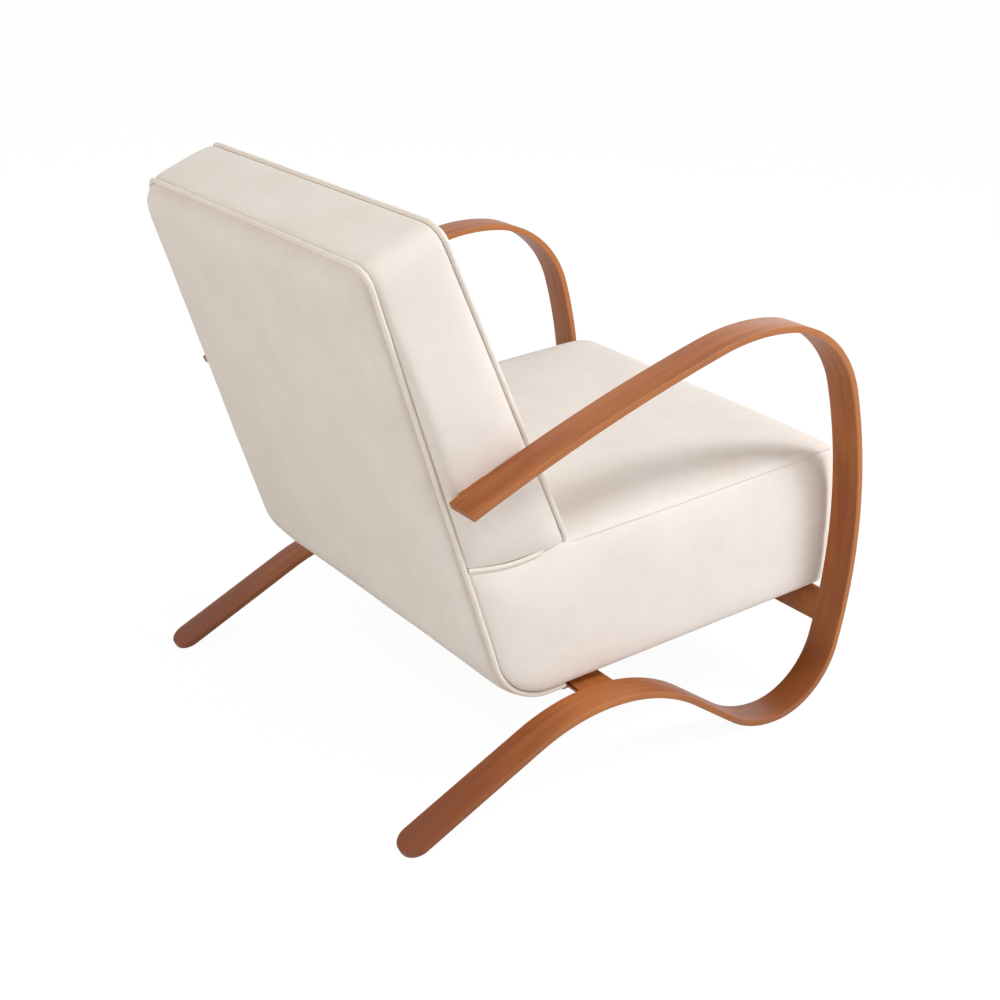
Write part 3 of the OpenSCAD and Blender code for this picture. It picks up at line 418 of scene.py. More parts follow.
def tongue(bm, x_mid):
    """Rounded tip of the foot. Gives the edges of the ribbon's full section."""
    a = chain[0][1]
    tip = round_mid - RIBBON_W / 2 * math.sin(math.radians(TIP_TURN)) * heading(a)
    wide = RIBBON_W * math.cos(math.radians(TIP_TURN))
    ring = []
    for i, j in ((-1, -1), (1, -1), (1, 1), (-1, 1)):
        flat = tip + j * RIBBON_T / 2 * left_of(a)
        ring.append(bm.verts.new(world(flat.x, flat.y, x_mid + i * wide / 2)))
    edges = [bm.edges.new((ring[k], ring[(k + 1) % 4])) for k in range(4)]
    for k in range(1, TONGUE_STEPS + 1):
        turn = math.radians(TIP_TURN * (1 - k / TONGUE_STEPS))
        ring, edges = fresh_ring(bmesh.ops.extrude_edge_only(bm, edges=edges)["geom"])
        at = round_mid - RIBBON_W / 2 * math.sin(turn) * heading(a)
        bmesh.ops.translate(bm, verts=ring, vec=world(*at, 0) - world(*tip, 0))
        bmesh.ops.scale(bm, verts=ring, vec=(RIBBON_W * math.cos(turn) / wide, 1, 1),
                        space=Matrix.Translation((-x_mid * MM, 0, 0)))
        tip, wide = at, RIBBON_W * math.cos(turn)
    return edges


print("the foot's tip is", round(RIBBON_W * math.cos(math.radians(TIP_TURN)), 1), "mm wide and reaches",
      RIBBON_W, "mm in", TONGUE_STEPS, "steps")

# %% Build one ribbon
ARRIS_R = 1.3
WELD = 0.01 * MM
# The end of each straight, without a turn, and the radius and turn of each bend
WALK = ((hump_end, None), (HUMP_R, -hump_turn), (heel_end, None), HEEL, TOE, RISER, KNEE, CROWN, ARM)


def ribbon_mesh(x_mid):
    """One ribbon, from the tip of its foot to the end of its arm."""
    bm = bmesh.new()
    edges, at, a = tongue(bm, x_mid), round_mid, chain[0][1]
    for first, turn in WALK:
        if turn is None:
            ring, edges = fresh_ring(bmesh.ops.extrude_edge_only(bm, edges=edges)["geom"])
            bmesh.ops.translate(bm, verts=ring, vec=world(*first, 0) - world(*at, 0))
            at = first
        else:
            centre = at + math.copysign(first, turn) * left_of(a)
            made = bmesh.ops.spin(bm, geom=edges, cent=world(*centre, x_mid), axis=(1, 0, 0),
                                  angle=-math.radians(turn), steps=arc_steps(first, turn))
            edges = [g for g in made["geom_last"] if isinstance(g, bmesh.types.BMEdge)]
            at, a = arc_end(at, a, first, turn), a + turn
    bmesh.ops.remove_doubles(bm, verts=bm.verts[:], dist=WELD)
    bmesh.ops.holes_fill(bm, edges=[e for e in bm.edges if e.is_boundary], sides=0)
    bmesh.ops.recalc_face_normals(bm, faces=bm.faces[:])
    soften(bm, ARRIS_R)
    for v in bm.verts:
        v.co.z = max(v.co.z, 0.0)
    return bm


print("a ribbon has", sum(turn is not None for _, turn in WALK), "bends, and its arrises are", ARRIS_R,
      "mm round")

# %% Both ribbons
RIBBON_MID = RIBBON_IN + RIBBON_W / 2


def store_grain(mesh, x_mid):
    """Stores how far along, across and through the ribbon each point lies, in metres."""
    layer = mesh.attributes.new("grain", "FLOAT_VECTOR", "POINT")
    for v, item in zip(mesh.vertices, layer.data):
        flat = Vector((FORWARD_ZERO - v.co.y / MM, v.co.z / MM))
        best = min(range(len(chain)), key=lambda k: (chain[k][0] - flat).length_squared)
        centre, a = chain[best]
        gap = flat - centre
        item.vector = ((along[best] + gap.dot(heading(a))) * MM, v.co.x - x_mid * MM,
                       gap.dot(left_of(a)) * MM)


for side, sign in (("left", 1), ("right", -1)):
    piece = new_object(side + "_ribbon", ribbon_mesh(sign * RIBBON_MID), RIBBON_WOOD,
                       [side + "_arm_leg"])
    store_grain(piece.data, sign * RIBBON_MID)

# %% [markdown]
# ## Boards and blocks
# Two cross boards carry the body, and a block at each arm's end holds its back. They
# could be modelled anew, but their worth is in their exact joints, so the frame's own
# meshes are copied. A real board never has a knife edge: sanding breaks every arris, and
# that thin highlight is what makes it read as wood.

# %% Dress the visible joinery
BROKEN_EDGE = {"front_rail": 1.2, "front_rail_blocks": 1.0, "rear_rail": 1.5,
               "right_arm_block": 1.0, "left_arm_block": 1.0}
# In radians
SAME_PLANE = 0.01


def dressed_board(node, bevel):
    """Copy of a board with its facets joined and its arrises rounded."""
    bm = bmesh.new()
    bm.from_mesh(nodes[node].data)
    bm.transform(nodes[node].matrix_world)
    bmesh.ops.remove_doubles(bm, verts=bm.verts[:], dist=2 * WELD)
    flat = [e for e in bm.edges if len(e.link_faces) == 2 and e.calc_face_angle() < SAME_PLANE]
    bmesh.ops.dissolve_edges(bm, edges=flat, use_verts=True)
    soften(bm, bevel)
    return new_object(node + "_dressed", bm, BOARD_WOOD, [node])


for name, bevel in BROKEN_EDGE.items():
    piece = dressed_board(name, bevel)
    print(piece.name, len(piece.data.polygons), "faces")

# %% [markdown]
# ## The upholstered box
# The seat and the back are two padded boxes that lean against each other. Their covers
# could be made flat and turned afterwards, but then their seams would have to be matched
# by eye. So three small functions turn a place on the seat, on the back or on the back's
# front face into a place on the side view, and each cover is written in its own box's
# terms: so far forward, so far up.

# %% Frames of the seat and the back
BACK_LEAN = RECLINE - SEAT_TILT
TAIL_TURN = 90 - BACK_LEAN
TAIL_TANGENT = TAIL_R * math.tan(math.radians(TAIL_TURN / 2))
TAIL_ARC = TAIL_R * math.radians(TAIL_TURN)
cos_lean, sin_lean = math.cos(math.radians(BACK_LEAN)), math.sin(math.radians(BACK_LEAN))
tan_lean, tan_wedge = math.tan(math.radians(BACK_LEAN)), math.tan(math.radians(BACK_WEDGE))
FACE_TOP = Vector((0, BACK_H)) + BACK_TOP_D * heading(TOP_RISE)
FOOT_Y = ((SEAT_H / cos_lean - FACE_TOP.x * tan_lean - FACE_TOP.y * tan_wedge * tan_lean)
          / (1 - tan_wedge * tan_lean))


def face_x(y):
    """Forward place of the back's front face at height y, in the back's own frame."""
    return FACE_TOP.x + (FACE_TOP.y - y) * tan_wedge


FOOT_X = face_x(FOOT_Y) * cos_lean - FOOT_Y * sin_lean
FACE_LEN = (FACE_TOP.y - FOOT_Y) / math.cos(math.radians(BACK_WEDGE))


def placed(origin, a):
    """Function that turns a place in a tilted frame into a place on the side view."""
    return lambda x, y: origin + x * heading(a) + y * left_of(a)


on_seat = placed(SEAT_FRONT, SEAT_TILT)
on_back = placed(TAIL_CORNER, RECLINE)
on_face = placed(on_back(*FACE_TOP), RECLINE + BACK_WEDGE)
print("back's front face is", round(FACE_LEN), "mm high and meets the seat",
      round(SEAT_DEPTH - FOOT_X), "mm behind its front")

# %% [markdown]
# ## Cutting the covers
# A cover is a flat piece of cloth that is pulled over stuffing and held at its seams. So
# it is tight and drawn in along the seams, and it swells softly between them. A cloth
# simulation makes folds well, but these covers are filled so tightly that they have
# none, and their seams have to meet. So each one is a grid that a formula shapes, and
# its lines crowd beside the seams, where the cloth turns most.

# %% Lines of a cover's grid
NEAR = [0, 1.2, 2.6, 4.2, 6.5, 9.5, 13.5, 19]
OPEN, SEAM, CORNER, FLAT = None, [], [-1.0], [-4.05, -2.55, -0.95]
CELL = 8.0


def crowd(length, start=CORNER, end=CORNER):
    """Distances from seam to seam, close together beside the seams. Under piping the
    cloth reaches a little past the seam, as the turned-in allowance does."""
    low = [0] if start is OPEN else start + NEAR
    high = [length] if end is OPEN else [length - d for d in reversed(end + NEAR)]
    n = max(2, round((high[0] - low[-1]) / CELL))
    return low + [low[-1] + (high[0] - low[-1]) * k / n for k in range(1, n)] + high


print("a cover of 500 mm has", len(crowd(500)), "lines")

# %% [markdown]
# ## The surface of stuffed cloth
# Over its plain form the cloth does three things. Stuffing is never even, so it swells
# and sinks by a millimetre over the width of a hand. A seam pulls it down within a
# finger's width. Beside the seam small puckers run out and fade. Noise makes the swells
# and the puckers, and a power of the distance to the seam makes the pull, so that no two
# places look alike and the seam still is where it has to be.

# %% Shape of stuffed cloth
TUCK, WADDING = 2.8, 1.2
SEED_ASIDE, SEED_UP = 7.3, 3.1
# Seed, height and size of the swells, the fine swells and the puckers
SWELLS = ((0, 0.8, 95), (2, 0.35, 38), (5, 0.4, 17))
CALM_EDGE, PUCKER_REACH, PUCKER_START = 25, 16, 3


def mix(a, b, t):
    return a + (b - a) * t


def ease(t):
    """Smooth rise from 0 to 1 while t goes from 0 to 1."""
    t = min(max(t, 0), 1)
    return t * t * (3 - 2 * t)


def puff(t, power):
    """1 in the middle and 0 at both ends, flatter between them for a higher power."""
    return 1 - min(1, abs(2 * t - 1)) ** power


def ripple(seed, x, y, size):
    """Smooth random height between about -1 and 1."""
    return noise.noise(Vector((x / size + seed * SEED_ASIDE, y / size, seed * SEED_UP)))


def drawn_in(e, depth, reach):
    """How far a seam pulls the cloth in at distance e from it, or past it under piping."""
    return depth + min(-e, TUCK) if e < 0 else depth * max(0.0, 1 - e / reach) ** 2


def cloth_height(seed, x, y, e, seam=(0, 1)):
    """Height of the cloth over its plain form: two sizes of swell, puckers beside the
    seam and the seam's own pull. A seam is the depth and the reach of its pull."""
    inner = max(0.0, e)
    swell, fine, pucker = (height * ripple(seed + k, x, y, size) for k, height, size in SWELLS)
    near_seam = math.exp(-inner / PUCKER_REACH) * min(1.0, inner / PUCKER_START)
    return (swell + fine) * min(1.0, inner / CALM_EDGE) + pucker * near_seam - drawn_in(e, *seam)


print("cloth is", WADDING, "mm thick and tucks in by", TUCK, "mm past a seam")

# %% Cut one cover
def cover(name, node, rows, cols, place):
    """A grid of cloth. place(d, c) gives the point and the cloth coordinates, in mm."""
    bm = bmesh.new()
    bmesh.ops.create_grid(bm, x_segments=len(cols) - 1, y_segments=len(rows) - 1, size=1)
    weave = bm.verts.layers.float_vector.new("weave")
    for v in bm.verts:
        c = cols[round((v.co.x + 1) / 2 * (len(cols) - 1))]
        d = rows[round((v.co.y + 1) / 2 * (len(rows) - 1))]
        v.co, v[weave] = place(d, c)
    bmesh.ops.remove_doubles(bm, verts=bm.verts[:], dist=WELD)
    bmesh.ops.recalc_face_normals(bm, faces=bm.faces[:])
    return new_object(name, bm, FABRIC, [node], smooth=0)


def thicken(piece, inside):
    """Gives the cloth its wadding on the inner side and smooths it."""
    face = piece.data.polygons[len(piece.data.polygons) // 2]
    if face.normal.dot(face.center - inside) < 0:
        piece.data.flip_normals()
    shell = piece.modifiers.new("wadding", "SOLIDIFY")
    shell.thickness, shell.offset = WADDING * MM, -1
    fine = piece.modifiers.new("smooth", "SUBSURF")
    fine.levels = fine.render_levels = 1


print("grid lines stand", CELL, "mm apart away from the seams")

# %% [markdown]
# ## The panels
# Three large pieces of cloth cover the seat's top, the back's front and the rear. A
# panel could be a plain dome, but stuffing under tight cloth makes a broad flat top that
# falls off steeply beside its seams, which a high power of the place between the seams
# gives. The seat's top swells by 21 mm in the middle and is fuller towards the sitter's
# left. The back's front swells by 14 mm. The rear swells by 25 mm at its top and by
# 32 mm low down. Then it lies tight over the bend under the body, but for a small roll
# beside the piping.

# %% Top of the seat
BODY_W = 2 * BODY_HALF
TOP_UNDER_BACK = 6.0
TOP_LEN = SEAT_DEPTH - FOOT_X + TOP_UNDER_BACK
SEAT_CROWN, LEFT_CROWN = 21.0, 7.0
SEAT_BOXY, SIDE_BOXY, LEFT_BOXY = 28, 19, 9
FRONT_PUFF = 7.0
TOP_SEAM_SAG, SAG_BEHIND, SAG_SHAPE, SAG_SPREAD = 5.0, 160, 0.8, 4
TOP_SEAM = (3.9, 9)


def row_half(d, half, r):
    """Half the width of a row at distance d from an edge whose corners have radius r."""
    return half if d >= r else half - r + math.sqrt(max(0, r * r - (r - d) ** 2))


def top_seam_sag(d):
    """Drop of the seat's top seam at distance d behind the seat's front."""
    t = min(max(d / (TOP_LEN + SAG_BEHIND), 0), 1)
    return TOP_SEAM_SAG * math.sin(math.pi * t) ** SAG_SHAPE


def seat_top_at(d, c):
    half = row_half(d, BODY_HALF, SEAT_CORNER_R)
    x = (2 * c / BODY_W - 1) * half
    left = x / BODY_HALF
    rise = ((SEAT_CROWN + LEFT_CROWN * left) * puff(d / TOP_LEN / 2, SEAT_BOXY)
            * puff(c / BODY_W, SIDE_BOXY + LEFT_BOXY * left))
    up = (SEAT_H + rise - top_seam_sag(d) * abs(left) ** SAG_SPREAD
          + cloth_height(1, x, d, min(d, half - abs(x)), TOP_SEAM))
    return world(*on_seat(FRONT_PUFF * (1 - d / TOP_LEN) - d, up), x), Vector((x, d, 0)) * MM


print("seat's top is", round(BODY_W), "by", round(TOP_LEN), "mm and swells by", SEAT_CROWN, "mm")

# %% Front and rear of the back
PANEL_HALF, CORNER_IN = BODY_HALF - EDGE_IN, BACK_CORNER_R - EDGE_IN
FRONT_SHORT = 2.5
FRONT_LEN = FACE_LEN - EDGE_IN - FRONT_SHORT
REAR_STRAIGHT = BACK_H - EDGE_IN - TAIL_TANGENT
REAR_LEN = REAR_STRAIGHT + TAIL_ARC + TAIL_LEN
BACK_CROWN, REAR_TOP_CROWN, REAR_LOW_CROWN = 14.0, 25.0, 32.0
PANEL_BOXY = 34
TIGHT_BEFORE, TIGHT_OVER = 46, 100
ROLL, ROLL_W, ROLL_OFF_SEAM, ROLL_START, ROLL_END = 6.5, 55, 8, 45, 60
PIPED_SEAM = (2.0, 7)


def on_panel(d, c, half, r):
    """Sideways place, way down and distance from the seam on a panel with two round
    corners. Lines past the seam leave it squarely, also round the corners."""
    row, past = max(d, 0.0), max(-c, c - 2 * half, 0.0)
    reach = row_half(row, half, r)
    x = (min(max(c, 0), 2 * half) / half - 1) * reach
    lean = max(0.0, 1 - row / r)
    e = -max(past, -d) if past or d < 0 else min(d, reach - abs(x))
    x += math.copysign(past * math.sqrt(1 - lean * lean), x)
    return x, min(d, row - past * lean), e


def back_front_at(d, c):
    x, d, e = on_panel(d, c, PANEL_HALF, CORNER_IN)
    out = BACK_CROWN * puff(d / FRONT_LEN / 2, 2 * PANEL_BOXY) * puff(c / PANEL_HALF / 2, PANEL_BOXY)
    flat = on_face(out + cloth_height(2, x, d, e, PIPED_SEAM), -EDGE_IN - d)
    return world(*flat, x), Vector((x, d, 0)) * MM


def rear_crown(d):
    """The rear is fullest low down, and tight over the bend under the body."""
    full = mix(REAR_TOP_CROWN, REAR_LOW_CROWN, ease(d / REAR_STRAIGHT))
    return full * (1 - ease((d - REAR_STRAIGHT + TIGHT_BEFORE) / TIGHT_OVER))


def bend_roll(d, x):
    """Small roll of cloth beside the piping, where the rear goes round the bend."""
    inner = max(0.0, PANEL_HALF - abs(x))
    across = math.exp(-(inner / ROLL_W) ** 2) * min(1.0, inner / ROLL_OFF_SEAM)
    return ROLL * ease((d - REAR_STRAIGHT) / ROLL_START) * ease((REAR_LEN - d) / ROLL_END) * across


def rear_at(d, c):
    x, d, e = on_panel(d, c, PANEL_HALF, CORNER_IN)
    out = (rear_crown(d) * puff(d / REAR_LEN, PANEL_BOXY) * puff(c / PANEL_HALF / 2, PANEL_BOXY)
           + cloth_height(3, x, d, e, PIPED_SEAM) + bend_roll(d, x))
    a = 180 + math.degrees(min(max(d - REAR_STRAIGHT, 0), TAIL_ARC) / TAIL_R)
    straight = max(d - REAR_STRAIGHT - TAIL_ARC, 0) - max(REAR_STRAIGHT - d, 0)
    line = Vector((TAIL_R, TAIL_TANGENT)) + (TAIL_R + out) * heading(a) + straight * left_of(a)
    return world(*on_back(*line), x), Vector((x, d, 0)) * MM


print("front panel is", round(FRONT_LEN), "mm long, rear panel", round(REAR_LEN), "mm")

# %% [markdown]
# ## The bands
# A boxed cushion has a band of cloth round its edge, sewn to the panels on both sides.
# It could be made as one strip that is bent round a path, but here its two seams don't
# run alike: the lower one follows the bend under the body and sags at the side, and the
# upper one follows the panel. So each point of the band is worked out from its place on
# both seams, and the band swells between them. It swells less than a panel does, because
# it is narrow.

# %% Following a band round its panel
BAND_BOXY, BAND_END_BOXY, REARWARD = 5, 24, 0.72


def band_length(run, r):
    return 2 * (run + r * math.pi / 2 + BODY_HALF - r)


def round_corner(s, run, r):
    """Follows a band up one side, across and down the other. Gives the way up the
    side, the sideways place, the advance past the side's end and the outward normal."""
    total = band_length(run, r)
    sign, s = (-1, s) if s <= total / 2 else (1, total - s)
    arc = r * math.pi / 2
    if s <= run:
        return s, sign * BODY_HALF, 0.0, (0.0, sign)
    if s <= run + arc:
        a = (s - run) / r
        x = sign * (BODY_HALF - r + r * math.cos(a))
        return run, x, r * math.sin(a), (math.sin(a), sign * math.cos(a))
    return run, sign * (BODY_HALF - r - (s - run - arc)), r, (1.0, 0.0)


def band_rise(s, total, t, n_side, crown, side_crown):
    """Rise of a band. On its sides it is fullest nearer to its first seam, which is the
    rear one on the back and the lower one on the seat."""
    sideways = abs(n_side)
    return (mix(crown, side_crown, sideways) * puff(t ** mix(1, REARWARD, sideways), BAND_BOXY)
            * puff(s / total, BAND_END_BOXY))


def split(c, length):
    """Place between two seams, and how far past one of them."""
    inside = min(max(c, 0.0), length)
    return inside, c - inside


print("a band's side swells most at", round(0.5 ** (1 / REARWARD), 2), "of its width")

# %% Band of the seat
SEAM_SAG = 11.0
SEAM_LIFT = EDGE_IN / cos_lean
SEAT_TOP_Y = SEAT_H - EDGE_IN
TAIL_X, TAIL_IN = TAIL_TANGENT - SEAT_DEPTH, TAIL_R - EDGE_IN
TAIL_RUN = TAIL_IN * math.radians(TAIL_TURN)
SEAT_RUN = TAIL_RUN - TAIL_X - SEAT_CORNER_R
BOX_REAR = -SEAT_DEPTH - SEAT_TOP_Y * tan_lean + SEAM_LIFT
SEAM_REAR = -SEAT_DEPTH - SEAT_H * tan_lean + 2 * EDGE_IN
SEAM_FRONT = -SEAT_DEPTH + FOOT_X - EDGE_IN
SEAT_BAND_CROWN, SEAT_SIDE_CROWN = 11.0, 10.5
SAG_BLEND = 20
# Depth and reach of the pull of each seam
REAR_END, LOW_EDGE, CLOSED_EDGE, TOP_EDGE = (2.0, 7), (4.0, 9), (1.2, 6), (2.4, 6)


def sag_at(x):
    """Drop of the side seam at a place on the seat's own length."""
    t = (x - SEAM_REAR) / (SEAM_FRONT - SEAM_REAR)
    return SEAM_SAG * math.sin(math.pi * t) if 0 < t < 1 else 0.0


def seat_band_at(s, c):
    total = band_length(SEAT_RUN, SEAT_CORNER_R)
    up, x, over, (n_along, n_side) = round_corner(s, SEAT_RUN, SEAT_CORNER_R)
    inside, past = split(c, SEAT_TOP_Y)
    t = inside / SEAT_TOP_Y
    if up < TAIL_RUN:
        a = math.radians(TAIL_TURN) * (1 - up / TAIL_RUN)
        low = Vector((TAIL_X - TAIL_IN * math.sin(a), TAIL_R - TAIL_IN * math.cos(a)))
        top = Vector((mix(BOX_REAR, TAIL_X, up / TAIL_RUN), SEAT_TOP_Y))
    else:
        k = (up - TAIL_RUN) / (SEAT_RUN - TAIL_RUN)
        low = Vector((mix(TAIL_X, -SEAT_CORNER_R, k) + over, EDGE_IN * (1 - k)))
        top = Vector((low.x, SEAT_TOP_Y))
    uncovered = max(0, min(1, (top.x - SEAM_FRONT) / SAG_BLEND))
    top.y -= sag_at(top.x) + top_seam_sag(-top.x) * uncovered
    under_back = top.x < SEAM_FRONT
    e_end, e_low, e_top = min(s, total - s), c, SEAT_TOP_Y - c
    out = (band_rise(s, total, t, n_side, SEAT_BAND_CROWN, SEAT_SIDE_CROWN)
           + cloth_height(4, s, c, min(e_end, e_low, e_top))
           - drawn_in(e_end, *REAR_END) - drawn_in(e_low, *LOW_EDGE)
           - drawn_in(e_top, *(CLOSED_EDGE if under_back else TOP_EDGE)))
    place = low.lerp(top, t) + past * (top - low).normalized()
    place.x += (out + FRONT_PUFF) * n_along
    return world(*on_seat(*place), x + out * n_side), Vector((s, c, 0)) * MM


print("seat's band is", round(band_length(SEAT_RUN, SEAT_CORNER_R)), "mm long")

# %% Band of the back
REAR_LOW = (SEAT_H - EDGE_IN * sin_lean) / cos_lean + SEAM_LIFT
FRONT_LOW = FOOT_Y + SEAM_LIFT
BACK_RUN = FACE_TOP.y - BACK_CORNER_R - FRONT_LOW
BACK_BAND_CROWN, BACK_SIDE_LOW, BACK_SIDE_CROWN, SIDE_RISE = 3.0, 5.0, 17.3, 220
CORD_END, CLOSE_OVER, CLOSE_DROP = 0.7, 0.1, 1.8
LOW_REACH, OFF_RIBBON = 140, 0.8


def seam_drop(t):
    """Drop of the back's lower edge: it sags with the side seam, and where the cord has
    ended it closes on the seat's band."""
    return SEAM_SAG * math.sin(math.pi * t) + CLOSE_DROP * EDGE_IN * ease((t - CORD_END) / CLOSE_OVER)


def back_band_at(s, c):
    total = band_length(BACK_RUN, BACK_CORNER_R)
    up, x, over, (n_along, n_side) = round_corner(s, BACK_RUN, BACK_CORNER_R)
    inside, past = split(c, BACK_TOP_D)
    k, t = up / BACK_RUN, inside / BACK_TOP_D
    y_rear = mix(REAR_LOW, BACK_H - BACK_CORNER_R, k) + over
    y_front = mix(FRONT_LOW, FACE_TOP.y - BACK_CORNER_R, k) + over
    width = face_x(y_front) - 2 * EDGE_IN
    side_crown = mix(BACK_SIDE_LOW, BACK_SIDE_CROWN, ease((BACK_RUN - up) / SIDE_RISE))
    e_end, e_side = min(s, total - s), -abs(past) if past else min(t, 1 - t) * width
    out = (band_rise(s, total, t, n_side, BACK_BAND_CROWN, side_crown)
           + cloth_height(5, s, c, min(e_end, e_side))
           - drawn_in(e_end, *CLOSED_EDGE) - drawn_in(e_side, *PIPED_SEAM))
    y = mix(y_rear, y_front, t) - seam_drop(t) * max(0, 1 - e_end / LOW_REACH) ** 2 + out * n_along
    side_x = min(abs(x + out * n_side), RIBBON_IN - OFF_RIBBON)
    flat = on_back(EDGE_IN + t * width + past, y)
    return world(*flat, math.copysign(side_x, x)), Vector((s, t * width, 0)) * MM


print("back's band is", round(band_length(BACK_RUN, BACK_CORNER_R)), "mm long")

# %% [markdown]
# ## Woven cover cloth
# The cloth is a plain off-white weave, matte and a little warm. From a few steps away
# only its softness shows: faint clouds of tone, threads of uneven thickness and a
# velvety lift of light at grazing angles, which is what a Sheen layer gives. Threads
# could be modelled, but millions of them would only be seen from very near, so a bump
# draws them. It reads the cloth's own coordinates, because threads follow the cloth and
# not the room.

# %% Cloth finish
COVER_THREAD, JUTE_THREAD, DUST_THREAD = 1.3, 2.2, 0.9


def cloth(name, light, dark, thread, coordinates=None):
    """Plain weave. The thread's width is in mm."""
    paint = Paint(name)
    place = paint.place(coordinates)
    warp, weft = ((part * (math.tau / (thread * MM))).sin().abs() for part in paint.parts(place)[:2])
    slub = paint.noise(place, (900.0, 60.0, 60.0)) + paint.noise(place, (60.0, 900.0, 60.0))
    clouds = paint.noise(place, 9.0, 3.0, 0.55)
    small = paint.noise(place, 55.0, 3.0, 0.6)
    tone = clouds.ramp(0.3, 0.7) * 0.6 + small.ramp(0.3, 0.72) * 0.25 + slub * 0.12
    base = paint.mix(tone.clamp(), rgb(*light), rgb(*dark))
    height = (warp + weft) * 0.35 + slub * 0.5
    return paint.set(Base_Color=base, Roughness=0.82 + small * 0.12, Sheen_Weight=0.1,
                     Sheen_Roughness=0.45, Specular_IOR_Level=0.25,
                     Normal=paint.bump(height, 0.00018, 0.55))


FABRIC = cloth("woven_cover_cloth", (239, 231, 222), (232, 222, 211), COVER_THREAD, "weave")
PIPING = cloth("piping_cloth", (242, 234, 224), (234, 223, 211), COVER_THREAD)
print("cloth finishes", FABRIC.name, PIPING.name)

# %% [markdown]
# ## Sewing the covers
# The five pieces of the cover are cut, laid in place and given their thickness. Each
# takes the place of one node of the frame. They could be joined to one skin, but they
# stay five pieces, as an upholsterer has them, and the piping covers where they meet.

# %% Sew the covers
SEAT_MID, BACK_MID = world(*on_seat(-250, 100), 0), world(*on_back(50, 400), 0)
COVERS = (
    ("seat_top", "seat_top_cover", seat_top_at,
     crowd(TOP_LEN, SEAM, OPEN), crowd(BODY_W, SEAM, SEAM)),
    ("seat_band", "seat_boxing", seat_band_at,
     crowd(band_length(SEAT_RUN, SEAT_CORNER_R)), crowd(SEAT_TOP_Y, CORNER, FLAT)),
    ("back_front", "back_front_cover", back_front_at,
     crowd(FRONT_LEN, CORNER, OPEN), crowd(2 * PANEL_HALF)),
    ("back_band", "back_boxing", back_band_at,
     crowd(band_length(BACK_RUN, BACK_CORNER_R), FLAT, FLAT), crowd(BACK_TOP_D)),
    ("rear_panel", "rear_cover", rear_at,
     crowd(REAR_LEN, CORNER, SEAM), crowd(2 * PANEL_HALF)),
)
for name, node, place, rows, cols in COVERS:
    piece = cover(name, node, rows, cols, place)
    thicken(piece, SEAT_MID if "seat" in name else BACK_MID)
    print(name, len(rows), "by", len(cols), "lines")

# %% [markdown]
# ## Piping
# Piping is a cord wrapped in the same cloth and caught in the seam. It has no length of
# its own to spare, so it follows the seam, but a sewing machine never leaves it dead
# straight. A ring could be extruded along the seam, but a curve with a round section
# does the same in one step and has no twist at its bends. Its points wander a little,
# and so does its thickness. Then it is made a mesh like the rest.

# %% One cord
CORD_STEP, WRAP_T = 4.0, 0.65
WANDER, WANDER_SIZE = 0.35, 60
UNEVEN, UNEVEN_SIZE = 0.05, 25


def even(points):
    """Places every few millimetres along a line of points."""
    out, carry = [points[0]], 0.0
    for p, q in zip(points, points[1:]):
        length = (q - p).length / MM
        d = CORD_STEP - carry
        while d < length:
            out.append(p.lerp(q, d / length))
            d += CORD_STEP
        carry = length - (d - CORD_STEP)
    return out + [points[-1]]


def cord(name, replaced, route):
    """A cord of piping along a route of points."""
    data = bpy.data.curves.new(name, "CURVE")
    data.dimensions = "3D"
    data.bevel_depth, data.bevel_resolution = (PIPING_R + WRAP_T) * MM, 3
    data.use_fill_caps = True
    line = data.splines.new("POLY")
    points = even(route)
    line.points.add(len(points) - 1)
    for k, (point, p) in enumerate(zip(line.points, points)):
        at = k * CORD_STEP
        wander = WANDER * MM * Vector([ripple(20 + j, at, 0, WANDER_SIZE) for j in range(3)])
        point.co = (*(p + wander), 1)
        point.radius = 1 + UNEVEN * ripple(30, at, 0, UNEVEN_SIZE)
    bent = bpy.data.objects.new(name, data)
    bm = bmesh.new()
    bm.from_mesh(bent.to_mesh())
    bpy.data.objects.remove(bent)
    bmesh.ops.remove_doubles(bm, verts=bm.verts[:], dist=WELD)
    new_object(name, bm, PIPING, replaced, smooth=60)
    print(name, "is", round((len(points) - 1) * CORD_STEP), "mm long")


print("piping is", 2 * (PIPING_R + WRAP_T), "mm thick")

# %% Cords round the rear and the front
PIPING_X, ARCH_R = BODY_HALF - PIPING_IN, BACK_CORNER_R - PIPING_IN
TAIL_PIPING_R = TAIL_R - PIPING_IN
ARCH_STEPS, BEND_STEPS = 10, 24
FOOT_DROP, FOOT_SINK, FOOT_ASIDE = 7, 2, 3


def mirrored(half_line):
    """Both halves of a line that starts at -X and ends on the middle plane."""
    return half_line + [Vector((-p.x, p.y, p.z)) for p in reversed(half_line)]


def arch_corner(put, top):
    """Corner of a piped face: put places a height and a sideways place."""
    turns = [heading(90 * k / ARCH_STEPS) for k in range(ARCH_STEPS + 1)]
    return [put(top - BACK_CORNER_R + ARCH_R * turn.y, -(BODY_HALF - BACK_CORNER_R + ARCH_R * turn.x))
            for turn in turns]


